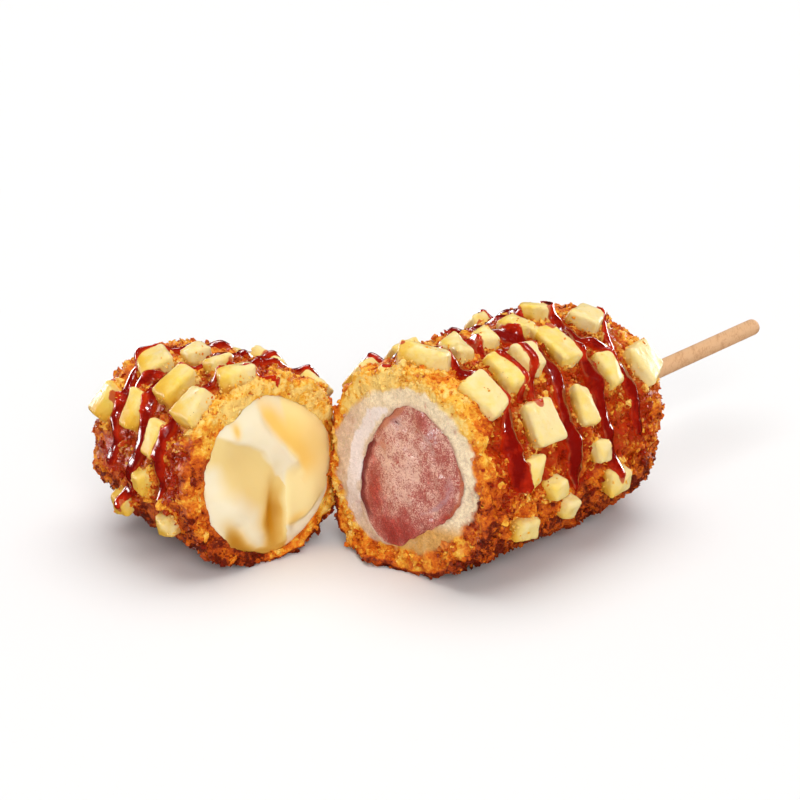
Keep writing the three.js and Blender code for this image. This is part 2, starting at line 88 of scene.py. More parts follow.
# A filling's outline at the cut is uneven: shares of its plain size every 15 degrees from the top.
SAUSAGE = {
    "across": 17.2, "high": 18.2, "length": 67.0, "end_length": 14.0, "end_power": 2.0,
    "even_from": 2.0, "even_to": 18.0,
    "outline": (1.07, 1.07, 1.05, 1.06, 1.02, 1.03, 0.98, 0.87, 0.78, 0.73, 0.715, 0.74,
                0.85, 1.09, 1.22, 1.215, 1.18, 1.08, 0.99, 0.935, 0.9, 0.91, 0.955, 1.04)}
FILLING_START = (2.1, -1.6)  # where the axis of sausage and stick meets the cut
FILLING_SLOPE = 1.0  # degrees, sideways and upward
CHEESE = {
    "radius": 20.6, "inner": 18.4, "drop": 0.2, "length": 44.0, "end_length": 14.0, "end_power": 2.0,
    "even_from": 1.0, "even_to": 12.0,
    "outline": (1.0, 0.96, 0.93, 0.93, 0.975, 1.015, 1.01, 1.015, 1.07, 1.075, 1.07, 1.075,
                1.06, 1.01, 1.01, 0.945, 0.965, 0.94, 0.935, 0.955, 0.95, 0.98, 0.93, 0.975)}
STICK = {"radius": 2.35, "bare": 69.0, "inside": 52.0, "tip": 1.6}

# Lumps of the melted cheese: (x, z, half width, half height, turn, rise)
CHEESE_LUMPS = [
    (10.0, 9.0, 7.5, 8.5, 0, 1.5),
    (-12.0, -5.0, 6.0, 8.0, 10, 1.2),
    (12.5, -9.0, 4.0, 7.0, -14, 0.9),
    (-5.5, 4.0, 7.5, 5.5, 20, -1.6),
    (2.2, -10.0, 2.4, 8.0, 2, -2.4),
    (-10.0, -16.0, 3.0, 5.0, -30, -1.4),
]
# Lines that the knife pulled up in the cheese, each from one end to the other.
RIDGE = [(9.0, -2.7), (7.2, 1.1), (3.5, 5.3), (-0.5, 10.1), (-3.3, 14.7), (-4.7, 19.1)]
BROW = [(-16.0, 15.0), (-12.1, 12.2), (-8.6, 10.6), (-4.2, 8.9), (-1.0, 6.5), (0.8, 3.5), (3.0, -0.7)]
FOLD_EDGE = [(4.4, 0.5), (4.7, -6.3), (4.4, -11.1), (4.2, -14.3), (4.4, -18.6), (4.0, -21.5)]
CREASE = [(18.6, -9.6), (15.0, -12.9), (11.8, -15.6), (8.7, -16.2), (5.0, -15.2)]
PALE_BAND = [(-17.6, 3.0), (-15.6, -3.0), (-11.6, -6.2), (-6.8, -10.5), (-4.6, -15.6), (-4.3, -20.0)]
FOLD = [(2.2, 0.0), (2.1, -5.6), (1.7, -10.3), (0.9, -13.4), (1.7, -17.0), (1.2, -21.0)]
LOW_HOLLOW = [(-15.8, -7.0), (-12.0, -12.0), (-9.8, -15.8), (-8.0, -18.6), (-4.0, -21.4)]
# How they stand out: (line, rise, width to the right of the line's run, width to its left)
CHEESE_CRESTS = [
    (RIDGE, 1.0, 1.5, 3.6),
    (BROW, 0.9, 0.7, 3.6),
    (FOLD_EDGE, 0.8, 0.9, 3.2),
    (CREASE, -0.8, 0.5, 1.8),
    (PALE_BAND, 0.8, 3.0, 3.4),
]


def smoothstep(value, low, high):
    """0 below low, 1 above high, smooth between."""
    share = np.clip((value - low) / (high - low), 0.0, 1.0)
    return share * share * (3 - 2 * share)


def corner_value(x, y, z):
    """A number between -1 and 1 for each whole-numbered corner of space."""
    key = x * np.uint32(374761393) + y * np.uint32(668265263) + z * np.uint32(1274126177)
    key = (key ^ (key >> np.uint32(13))) * np.uint32(1103515245)
    return (key ^ (key >> np.uint32(16))) / 2147483648.0 - 1.0


def noise(x, y, z):
    """Smooth noise between -1 and 1, the same that shapes the solids."""
    place = np.broadcast_arrays(*(np.asarray(v, dtype=float) for v in (x, y, z)))
    low = [np.floor(v) for v in place]
    ease = [smoothstep(v - f, 0.0, 1.0) for v, f in zip(place, low)]
    cell = [f.astype(np.int64).astype(np.uint32) for f in low]
    total = np.zeros_like(place[0])
    for n in range(8):
        bits = (n & 1, (n >> 1) & 1, n >> 2)
        weight = np.ones_like(total)
        for bit, e in zip(bits, ease):
            weight = weight * (e if bit else 1 - e)
        total += weight * corner_value(*(c + np.uint32(bit) for c, bit in zip(cell, bits)))
    return total


def grain(points, size, seed=0.0):
    """Noise of that grain size at an array of points."""
    x, y, z = np.moveaxis(np.asarray(points), -1, 0) / size
    return noise(x + seed, y, z)


def end_factor(length, end_length, power, along):
    """How much of its radius a rounded form keeps at a distance along it."""
    share = np.clip((along - length + end_length) / end_length, 0.0, 1.0)
    return (1 - share ** power) ** (1 / power)


class Half:
    """One half of the food, with its sizes and the place of its own frame."""

    def __init__(self, name, length, radius, far_radius, end_length, end_power, yaw, centre, sag, lip):
        self.name = name
        self.length = length
        self.radius = radius
        self.far_radius = far_radius
        self.end_length = end_length
        self.end_power = end_power
        self.sag = sag
        self.lip = lip
        turn = math.radians(yaw)
        c, s = math.cos(turn), math.sin(turn)
        self.turn = np.array([[c, -s, 0], [s, c, 0], [0, 0, 1]])
        self.origin = np.array([centre[0], centre[1], radius - SETTLE])

    def place(self, points):
        """Points of this half's frame, in metres in the object's frame."""
        return (np.asarray(points) @ self.turn.T + self.origin) * MM

    def unplace(self, points):
        """Points in metres back in this half's frame."""
        return (np.asarray(points) / MM - self.origin) @ self.turn

    def floor(self):
        return SETTLE - self.radius

    def straight(self):
        return self.length - self.end_length

    def side_radius(self, along):
        """Radius before the far end is rounded."""
        return self.radius + (self.far_radius - self.radius) * along / self.length

    def skin_radius(self, along):
        return self.side_radius(along) * end_factor(self.length, self.end_length, self.end_power, along)

    def cap_along(self, reach):
        """How far along the rounded end lies at that distance from the axis."""
        along = self.length
        for _ in range(3):
            share = np.clip(reach / self.side_radius(along), 0.0, 1.0)
            height = (1 - share ** self.end_power) ** (1 / self.end_power)
            along = self.straight() + self.end_length * height
        return along


# Soft crust that spread sideways at the cut, as (angle, spread, rise, reach along), and the lump of crust
# that hangs out of the cut's lower edge, as (angle, spread, how far out).
SAUSAGE_YAW = -43.6  # degrees, also of the stick
SAUSAGE_HALF = Half("sausage_half", 78.0, 27.0, 28.2, 23.0, 2.5, SAUSAGE_YAW, (17.4, -19.2),
                    (-133, 22, 5.5, 16.0), (-160, 13, 4.5))
CHEESE_HALF = Half("cheese_half", 51.5, 24.8, 23.4, 19.0, 2.4, 41.5, (-16.9, -13.5),
                   (122, 26, 3.2, 14.0), (160, 13, 1.2))


def filling_place(points):
    """Points along the axis of sausage and stick, in the frame of their half."""
    slope = math.radians(FILLING_SLOPE)
    c, s = math.cos(slope), math.sin(slope)
    x, y, z = np.moveaxis(np.asarray(points, dtype=float), -1, 0)
    y, z = y * c - z * s, y * s + z * c
    x, y = x * c - y * s, x * s + y * c
    return np.stack([x + FILLING_START[0], y, z + FILLING_START[1]], -1)


def settle_halves():
    """The stick's solid says where the whole food lies."""
    low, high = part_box("stick")
    middle = np.array((low + high) / 2)
    stick_middle = SAUSAGE_HALF.length + (STICK["bare"] - STICK["inside"]) / 2
    shift = middle / MM - SAUSAGE_HALF.place(filling_place((0, stick_middle, 0))) / MM
    shift[2] = 0
    for half in (SAUSAGE_HALF, CHEESE_HALF):
        half.origin = half.origin + shift


settle_halves()


def crag(along, angle, radius):
    """Height of the crags at a place on the skin; none where the food rests."""
    turn = np.radians(angle)
    u, v, w = np.sin(turn) * radius / CRAG_SIZE, along / CRAG_SIZE, np.cos(turn) * radius / CRAG_SIZE
    height = 0.7 * noise(u, v, w) + 0.3 * noise(2.1 * u + 7, 2.1 * v, 2.1 * w)
    from_bottom = 180 - np.abs(np.mod(angle + 180, 360) - 180)
    return CRAG_HEIGHT * height * smoothstep(from_bottom, FLAT_BAND, FLAT_BAND + 20)


def bump_share(bump, angle):
    """How much of a bump shows at an angle, given the bump's middle and spread in degrees first."""
    away = np.mod(angle - bump[0] + 180, 360) - 180
    return np.exp(-(away / bump[1]) ** 2)


def crust_rise(half, along, angle, radius):
    """The crust's distance from its plain radius: crags, and the sag beside the cut."""
    sag = half.sag[2] * bump_share(half.sag, angle) * (1 - smoothstep(along, 0.0, half.sag[3]))
    return crag(along, angle, radius) + sag


def ring(radius, along, angle, centre=(0.0, 0.0)):
    """A ring of points, one for each angle."""
    turn = np.radians(angle)
    ones = np.ones_like(turn)
    return np.stack([centre[0] + np.sin(turn) * radius, ones * along, centre[1] + np.cos(turn) * radius], -1)


def outline_share(filling, along, angle):
    """Share of its plain size that a filling reaches at an angle: uneven at the cut, plain further in."""
    shares = np.array(filling["outline"])
    place = np.mod(angle, 360) / 360 * len(shares)
    low = np.floor(place).astype(int)
    before, after = shares[low % len(shares)], shares[(low + 1) % len(shares)]
    share = before + (after - before) * smoothstep(place - low, 0.0, 1.0)
    turn = np.radians(angle)
    share = share + 0.012 * noise(6 * np.cos(turn), along / 3, 6 * np.sin(turn))
    return share + (1 - share) * smoothstep(along, filling["even_from"], filling["even_to"])


def sausage_ring(along, angle, share=1.0, push=0.0):
    """A ring round the sausage, in the frame of its half."""
    turn = np.radians(angle)
    reach = share * outline_share(SAUSAGE, along, angle)
    reach = reach * end_factor(SAUSAGE["length"], SAUSAGE["end_length"], SAUSAGE["end_power"], along)
    x = np.sin(turn) * (SAUSAGE["across"] * reach + push)
    z = np.cos(turn) * (SAUSAGE["high"] * reach + push)
    return filling_place(np.stack([x, along * np.ones_like(x), z], -1))


def sausage_share(points):
    """Points from the sausage's middle at the cut, as x and z, and the share of its outline they reach."""
    x, z = points[:, 0] - FILLING_START[0], points[:, 2] - FILLING_START[1]
    across, up = x / SAUSAGE["across"], z / SAUSAGE["high"]
    turn = np.degrees(np.arctan2(across, up))
    return x, z, np.hypot(across, up) / outline_share(SAUSAGE, 0.0, turn)


def cheese_ring(along, angle, share=1.0, push=0.0):
    """A ring round the cheese, in the frame of its half."""
    turn = np.radians(angle)
    narrowing = smoothstep(along, CHEESE["even_from"], CHEESE["even_to"])
    radius = CHEESE["radius"] + (CHEESE["inner"] - CHEESE["radius"]) * narrowing
    reach = radius * share * outline_share(CHEESE, along, angle)
    reach = reach * end_factor(CHEESE["length"], CHEESE["end_length"], CHEESE["end_power"], along) + push
    z = np.cos(turn) * reach - CHEESE["drop"]
    return np.stack([np.sin(turn) * reach, along * np.ones_like(turn), z], -1)


def distance_to_path(x, z, path):
    """Signed distance from points to a path, and how far along it the nearest place is, from 0 to 1."""
    best = np.full(np.shape(x), 1e9)
    signed = np.zeros(np.shape(x))
    along = np.zeros(np.shape(x))
    spans = len(path) - 1
    for n in range(spans):
        (ax, az), (bx, bz) = path[n], path[n + 1]
        dx, dz = bx - ax, bz - az
        share = np.clip(((x - ax) * dx + (z - az) * dz) / (dx * dx + dz * dz), 0, 1)
        away = np.hypot(x - ax - share * dx, z - az - share * dz)
        side = np.sign(dx * (z - az) - dz * (x - ax))
        nearer = away < best
        best = np.where(nearer, away, best)
        signed = np.where(nearer, away * side, signed)
        along = np.where(nearer, (n + share) / spans, along)
    return signed, along


# ---------------------------------------------------------------- meshes


def grid_faces(rows, columns, wrap):
    """Quads of a grid that closes round its columns, and round its rows too if wrap is true."""
    row = np.arange(rows if wrap else rows - 1)[:, None]
    column = np.arange(columns)[None, :]
    after = (row + 1) % rows
    beside = (column + 1) % columns
    corners = [row * columns + column, row * columns + beside,
               after * columns + beside, after * columns + column]
    return np.stack(np.broadcast_arrays(*corners), -1).reshape(-1, 4).tolist()


def closed_skin(rings, first_pole=None, last_pole=None):
    """Points and faces of a closed form over rings, with a pole at each end or wrapped into a ring."""
    rows, columns = len(rings), len(rings[0])
    points = np.concatenate(rings)
    faces = grid_faces(rows, columns, first_pole is None)
    if first_pole is not None:
        points = np.concatenate([points, [first_pole, last_pole]])
        first, last = rows * columns, rows * columns + 1
        for column in range(columns):
            beside = (column + 1) % columns
            faces.append((first, beside, column))
            faces.append((last, (rows - 1) * columns + column, (rows - 1) * columns + beside))
    return points, faces


def signed_volume(points, faces):
    corners = np.array([[face[0], face[n], face[n + 1]] for face in faces for n in range(1, len(face) - 1)])
    a, b, c = (points[corners[:, n]] for n in range(3))
    return float(np.sum(a * np.cross(b, c)))


def make_mesh(name, points, faces, attributes=None):
    """A smooth mesh whose faces point outwards, with a number for each point under each attribute's name."""
    if signed_volume(points, faces) < 0:
        faces = [tuple(reversed(face)) for face in faces]
    mesh = bpy.data.meshes.new(name)
    mesh.from_pydata(points.tolist(), [], faces)
    for key, values in (attributes or {}).items():
        data = mesh.attributes.new(key, "FLOAT", "POINT").data
        data.foreach_set("value", np.asarray(values, dtype=np.float32).ravel())
    mesh.shade_smooth()
    mesh.update()
    return mesh


def add_object(name, mesh):
    piece = bpy.data.objects.new(name, mesh)
    bpy.context.scene.collection.objects.link(piece)
    return piece


def mesh_points(mesh):
    points = np.empty(len(mesh.vertices) * 3)
    mesh.vertices.foreach_get("co", points)
    return points.reshape(-1, 3)


def mesh_normals(mesh):
    normals = np.empty(len(mesh.vertices) * 3)
    mesh.vertex_normals.foreach_get("vector", normals)
    return normals.reshape(-1, 3)


def move_points(mesh, points):
    mesh.vertices.foreach_set("co", points.astype(np.float32).ravel())
    mesh.update()


def keep_in_box(mesh):
    """Holds every point inside the solids' box, so that nothing reaches below the table or past the ends."""
    move_points(mesh, np.clip(mesh_points(mesh), CAD_BOX[0], CAD_BOX[1]))


def set_attribute(mesh, name, values):
    data = mesh.attributes.get(name) or mesh.attributes.new(name, "FLOAT", "POINT")
    data.data.foreach_set("value", np.asarray(values, dtype=np.float32).ravel())


def bake_modifiers(piece):
    """Replaces a piece's mesh by what its modifiers make of it, and removes them."""
    graph = bpy.context.evaluated_depsgraph_get()
    mesh = bpy.data.meshes.new_from_object(piece.evaluated_get(graph))
    piece.modifiers.clear()
    piece.data = mesh
    return mesh


def finish_mesh(mesh, material):
    """Gives a mesh its only material, smooth faces and a place inside the solids' box."""
    mesh.materials.clear()
    mesh.materials.append(material)
    mesh.shade_smooth()
    keep_in_box(mesh)


def remesh_evenly(piece, step, rounds):
    """Rebuilds a piece with faces of one size, then softens it that many times."""
    even = piece.modifiers.new("even", "REMESH")
    even.mode = "VOXEL"
    even.voxel_size = step
    soften = piece.modifiers.new("soften", "SMOOTH")
    soften.factor = 0.5
    soften.iterations = rounds
    return bake_modifiers(piece)


def bvh_of(*meshes):
    """A search tree over meshes that are in the object's frame."""
    points, faces, start = [], [], 0
    for mesh in meshes:
        points.extend(v.co for v in mesh.vertices)
        faces.extend([start + i for i in face.vertices] for face in mesh.polygons)
        start += len(mesh.vertices)
    return BVHTree.FromPolygons(points, faces)


def nearest_distance(tree, points, reach):
    """Distance in metres from each point to a tree's surface, up to reach."""
    found = (tree.find_nearest(Vector(point), reach)[3] for point in points)
    return np.array([reach if away is None else away for away in found])


# ---------------------------------------------------------------- node trees


class Field:
    """A number that varies over a surface: a node socket that can stand in an expression."""

    def __init__(self, net, socket):
        self.net = net
        self.socket = socket

    def _math(self, operation, *terms):
        return self.net.node("ShaderNodeMath", {"operation": operation}, dict(enumerate(terms)))

    def __add__(self, other):
        return self._math("ADD", self, other)

    def __sub__(self, other):
        return self._math("SUBTRACT", self, other)

    def __rsub__(self, other):
        return self._math("SUBTRACT", other, self)

    def __mul__(self, other):
        return self._math("MULTIPLY", self, other)

    def __pow__(self, other):
        return self._math("POWER", self, other)

    __radd__ = __add__
    __rmul__ = __mul__

    def clamp(self):
        return self.net.node("ShaderNodeClamp", {}, {"Value": self})


class Net:
    """Nodes of one tree, each made by one call."""

    def __init__(self, tree):
        self.tree = tree

    def node(self, kind, settings=None, inputs=None, output=None):
        """Makes a node, sets its settings first and then its sockets, and returns one of its outputs."""
        made = self.tree.nodes.new(kind)
        for key, value in (settings or {}).items():
            if key == "stops":
                self._set_stops(made.color_ramp, value)
            else:
                setattr(made, key, value)
        for key, value in (inputs or {}).items():
            socket = self._socket(made.inputs, key)
            if isinstance(value, Field):
                value = value.socket
            if isinstance(value, bpy.types.NodeSocket):
                self.tree.links.new(value, socket)
            else:
                socket.default_value = value
        if not made.outputs:
            return None
        return Field(self, self._socket(made.outputs, output))

    @staticmethod
    def _socket(sockets, key):
        if isinstance(key, int):
            return sockets[key]
        shown = [socket for socket in sockets if socket.enabled]
        if key is None:
            return shown[0]
        return next(socket for socket in shown if socket.name == key)

    @staticmethod
    def _set_stops(ramp, stops):
        for n, (position, colour) in enumerate(stops):
            stop = ramp.elements[n] if n < 2 else ramp.elements.new(position)
            stop.position = position
            stop.color = (*colour, 1.0)

    def step(self, value, low, high):
        """0 below low, 1 above high, smooth between."""
        return self.node("ShaderNodeMapRange", {"interpolation_type": "SMOOTHSTEP"},
                         {"Value": value, "From Min": low, "From Max": high})


class ShaderNet(Net):
    """Nodes of one material, on the piece's own object coordinates."""

    def __init__(self, name):
        material = bpy.data.materials.new(name)
        material.use_nodes = True
        material.node_tree.nodes.clear()
        super().__init__(material.node_tree)
        self.material = material
        self.where = self.node("ShaderNodeTexCoord", output="Object")

    def attribute(self, name):
        return self.node("ShaderNodeAttribute", {"attribute_name": name}, output="Fac")

    def noise(self, size, detail=2.0, rough=0.55, where=None):
        """Noise of a grain size in millimetres, about 0.25 to 0.75."""
        return self.node("ShaderNodeTexNoise", {}, {
            "Vector": where or self.where, "Scale": 1 / (size * MM), "Detail": detail, "Roughness": rough})

    def cells(self, size, randomness=1.0):
        """Distance from the middle of the nearest cell, in cells."""
        return self.node("ShaderNodeTexVoronoi", {}, {
            "Vector": self.where, "Scale": 1 / (size * MM), "Randomness": randomness}, "Distance")

    def mix(self, under, over, share):
        """Colour under, painted with colour over by a share."""
        return self.node("ShaderNodeMix", {"data_type": "RGBA", "clamp_factor": True}, {
            0: share, 6: self._colour(under), 7: self._colour(over)}, 2)

    def shade(self, colour, amount):
        """A colour times a number."""
        return self.node("ShaderNodeVectorMath", {"operation": "SCALE"}, {
            0: self._colour(colour, 3), "Scale": amount})

    @staticmethod
    def _colour(value, size=4):
        if isinstance(value, Field):
            return value
        return (*value, 1.0)[:size]

    def ramp(self, share, stops):
        return self.node("ShaderNodeValToRGB", {"stops": stops}, {"Fac": share}, "Color")

    def bump(self, height, strength, distance):
        return self.node("ShaderNodeBump", {}, {
            "Height": height, "Strength": strength, "Distance": distance * MM}, "Normal")

    def finish(self, sockets):
        """Ends the material in one Principled shader."""
        shader = self.node("ShaderNodeBsdfPrincipled", {}, sockets)
        self.node("ShaderNodeOutputMaterial", {}, {"Surface": shader})
        return self.material


class GeometryNet(Net):
    """A Geometry Nodes tree with named inputs."""

    KINDS = {"number": "NodeSocketFloat", "whole": "NodeSocketInt", "material": "NodeSocketMaterial"}

    def __init__(self, name, inputs):
        tree = bpy.data.node_groups.new(name, "GeometryNodeTree")
        tree.is_modifier = True
        super().__init__(tree)
        tree.interface.new_socket("Geometry", in_out="INPUT", socket_type="NodeSocketGeometry")
        self.keys = {}
        for key, kind in inputs.items():
            socket = tree.interface.new_socket(key, in_out="INPUT", socket_type=self.KINDS[kind])
            self.keys[key] = socket.identifier
        tree.interface.new_socket("Geometry", in_out="OUTPUT", socket_type="NodeSocketGeometry")
        self.source = tree.nodes.new("NodeGroupInput")

    def given(self, name="Geometry"):
        return Field(self, self.source.outputs[name])

    def attribute(self, name):
        return self.node("GeometryNodeInputNamedAttribute", {"data_type": "FLOAT"}, {"Name": name},
                         "Attribute")

    def store(self, geometry, name, value, domain="POINT"):
        return self.node("GeometryNodeStoreNamedAttribute", {"data_type": "FLOAT", "domain": domain}, {
            "Geometry": geometry, "Name": name, "Value": value})

    def random(self, low, high, seed):
        return self.node("FunctionNodeRandomValue", {"data_type": "FLOAT"}, {
            "Min": low, "Max": high, "Seed": seed})

    def vector(self, x, y, z):
        return self.node("ShaderNodeCombineXYZ", {}, {"X": x, "Y": y, "Z": z})

    def end(self, geometry):
        made = self.node("GeometryNodeSetMaterial", {}, {
            "Geometry": geometry, "Material": self.given("Material")})
        self.node("NodeGroupOutput", {}, {"Geometry": made})

    def apply(self, piece, **values):
        """Runs the tree on a piece and leaves a plain mesh. Each value goes to the input of its name."""
        modifier = piece.modifiers.new(self.tree.name, "NODES")
        modifier.node_group = self.tree
        for key, value in values.items():
            modifier[self.keys[key.replace("_", " ").capitalize()]] = value
        return bake_modifiers(piece)


# ---------------------------------------------------------------- settings


def length(name, default, description):
    return bpy.props.FloatProperty(
        name=name, description=description, default=default * MM, unit="LENGTH", precision=5, min=0.0)


def factor(name, default, description):
    return bpy.props.FloatProperty(
        name=name, description=description, default=default, subtype="FACTOR", min=0.0, max=1.0)


def amount(name, default, description):
    return bpy.props.FloatProperty(name=name, description=description, default=default, min=0.0)


def colour(name, default, description):
    return bpy.props.FloatVectorProperty(
        name=name, description=description, default=default, subtype="COLOR", size=3, min=0.0, max=1.0)


class CrustSettings(bpy.types.PropertyGroup):
    """Sizes and colours of the fried coating."""

    step: length("Mesh step", 0.52, "Distance between two points of the crust")
    lump_size: length("Lump size", 4.2, "Distance between two lumps of batter")
    lump_height: length("Lump height", 0.9, "How far lumps of batter rise and fall")
    granule_size: length("Granule size", 1.7, "Width of the fried granules")
    granule_height: length("Granule height", 0.7, "How far the granules stand out")
    crumb_spacing: length("Crumb spacing", 0.74, "Least distance between two small crumbs")
    crumb_size: length("Crumb size", 1.2, "Width of the largest small crumb")
    flake_spacing: length("Flake spacing", 2.4, "Least distance between two flakes")
    flake_size: length("Flake size", 2.2, "Length of the largest flake")
    straw: colour("Straw", (0.96, 0.66, 0.19), "Palest crumb")
    golden: colour("Golden", (0.92, 0.48, 0.045), "Crumb at the cut")
    amber: colour("Amber", (0.76, 0.175, 0.006), "Crumb on the sides")
    brown: colour("Brown", (0.50, 0.065, 0.003), "Well fried crumb")
    # The dark crumb shows where painted shade in the hollows and towards the bottom deepens the fried colour.
    dark: colour("Dark", (0.16, 0.014, 0.002), "Crumb in the deepest hollows")
    dough: colour("Dough", (1.0, 0.81, 0.55), "Soft dough inside the crust")
    # Also painted as shade on the bore's wall and in a thin ring beside the sausage.
    blushed: colour("Blushed dough", (0.66, 0.42, 0.31), "Dough that took colour from the sausage")
    oily: colour("Oily dough", (0.72, 0.35, 0.06), "Golden dough under the sausage")
    # Also painted as speckled glints along the sausage's lower right edge.
    steamed: colour("Steamed dough", (0.92, 0.80, 0.76), "Wet dough beside the sausage")
    stain: colour("Sauce stain", (0.34, 0.012, 0.001), "Crust that thin ketchup has soaked")


class PotatoSettings(bpy.types.PropertyGroup):
    """Sizes and colours of the potato cubes."""

    voxel: length("Mesh step", 0.46, "Distance between two points of a cube")
    rounding: bpy.props.IntProperty(
        name="Rounding", description="How soft the cubes' edges are", default=2, min=0)
    swell: factor("Swell", 0.09, "How much larger a fried cube is than it was cut")
    wobble: length("Unevenness", 0.36, "How far a cube's faces are from flat")
    crumb_spacing: length("Crumb spacing", 0.9, "Least distance between two crumbs that stick to a cube")
    crumb_size: length("Crumb size", 0.9, "Width of the largest crumb on a cube")
    ivory: colour("Ivory", (0.85, 0.67, 0.31), "Cubes that stayed pale")
    yellow: colour("Yellow", (0.86, 0.60, 0.09), "Cubes that turned yellow")
    golden: colour("Golden", (0.76, 0.41, 0.025), "Sides of a cube away from the light")
    fried: colour("Fried", (0.56, 0.20, 0.012), "Where a cube meets the hot crust")
    speck: colour("Specks", (0.16, 0.12, 0.02), "Tiny dark specks")
    soaked: colour("Soaked", (0.52, 0.045, 0.006), "Where thin ketchup runs over a cube")


class SauceSettings(bpy.types.PropertyGroup):
    """Sizes and colours of the ketchup."""

    voxel: length("Mesh step", 0.4, "Distance between two points of the sauce")
    thickness: length("Thickness", 1.35, "Height of a strand above what it lies on")
    thin: colour("Thin sauce", (0.55, 0.020, 0.002), "Edge of a strand")
    thick: colour("Thick sauce", (0.22, 0.003, 0.0007), "Middle of a strand")
    roughness: factor("Roughness", 0.16, "How dull the sauce is")


class FillingSettings(bpy.types.PropertyGroup):
    """Colours of sausage and cheese."""

    meat: colour("Meat", (0.52, 0.095, 0.072), "Darker grain of the sausage")
    fat: colour("Fat", (0.98, 0.60, 0.47), "Paler grain of the sausage")
    cured: colour("Cured", (0.52, 0.026, 0.018), "Raspberry red patches")
    orange: colour("Orange", (0.64, 0.15, 0.045), "Roasted orange edge")
    # A cool pale sheen painted on the ridges of the sausage's cut, as a highlight.
    lilac: colour("Lilac", (0.62, 0.34, 0.36), "Cool pale patches")
    # Also painted as shade in a wider band along the sausage's left edge.
    casing: colour("Casing", (0.23, 0.009, 0.013), "Dark skin of the sausage")
    ivory: colour("Ivory", (0.89, 0.79, 0.56), "Palest cheese")
    # Painted as shade in the hollow under the brow.
    cream: colour("Cream", (0.84, 0.63, 0.25), "Cheese in the hollows")
    warm: colour("Warm cheese", (0.97, 0.61, 0.14), "The smooth upper lobe")
    pale: colour("Pale yellow", (0.98, 0.80, 0.38), "The smooth lower lobe")
    # Tan and oily fold colour: oil in the folds, and painted shade there and along the edges.
    tan: colour("Tan", (0.82, 0.51, 0.11), "Beside the oily folds")
    oil: colour("Oily fold", (0.56, 0.23, 0.006), "Deep folds where oil has gathered")


class StickSettings(bpy.types.PropertyGroup):
    """Colours of the wooden stick."""

    wood: colour("Wood", (0.66, 0.38, 0.19), "Pale birch")
    vein: colour("Vein", (0.50, 0.24, 0.09), "Darker grain")
    end_grain: colour("End grain", (0.36, 0.15, 0.06), "Rounded end of the stick")


class StageSettings(bpy.types.PropertyGroup):
    """Camera, floor and light."""

    camera_place: bpy.props.FloatVectorProperty(
        name="Camera", description="Place of the camera", default=(-0.01273, -0.53620, 0.23408),
        unit="LENGTH")
    camera_tilt: bpy.props.FloatProperty(
        name="Camera tilt", description="Angle of the view below the horizon", default=math.radians(21.0),
        unit="ROTATION")
    lens: bpy.props.FloatProperty(
        name="Lens", description="Focal length for a 36 mm wide picture", default=98.62, unit="CAMERA")
    floor: colour("Floor", (0.83, 0.82, 0.815), "Colour of the floor")
    zenith: amount("Sky above", 0.28, "Strength of the light from overhead")
    horizon: amount("Sky at the horizon", 0.88, "Strength of the light from low all round")
    above: amount("Light from above", 2.1, "Strength of the soft light from above and behind")
    front: amount("Light from the front", 1.5, "Strength of the soft light beside the camera")
    edge: amount("Edge light", 2.1, "Power of each wall that draws bright edges on wet things, in watts")
    sheen: amount(
        "Sheen light", 0.8, "Power of the panel behind and above that lies on top of wet things, in watts")
    cut: amount(
        "Cut light", 1.1, "Power of the panel at the left that makes the stick half's cut glisten, in watts")
    glint: amount("Glint light", 0.5, "Power of the small lamp that makes wet crumbs glint, in watts")


class CornDogSettings(bpy.types.PropertyGroup):
    """Everything that can be changed about the corn dog."""

    crust: bpy.props.PointerProperty(type=CrustSettings, name="Crust", description="Fried coating")
    potato: bpy.props.PointerProperty(type=PotatoSettings, name="Potato", description="Potato cubes")
    sauce: bpy.props.PointerProperty(type=SauceSettings, name="Sauce", description="Ketchup")
    filling: bpy.props.PointerProperty(type=FillingSettings, name="Filling", description="Sausage and cheese")
    stick: bpy.props.PointerProperty(type=StickSettings, name="Stick", description="Wooden stick")
    stage: bpy.props.PointerProperty(type=StageSettings, name="Stage", description="Camera, floor and light")


# ---------------------------------------------------------------- ketchup paths

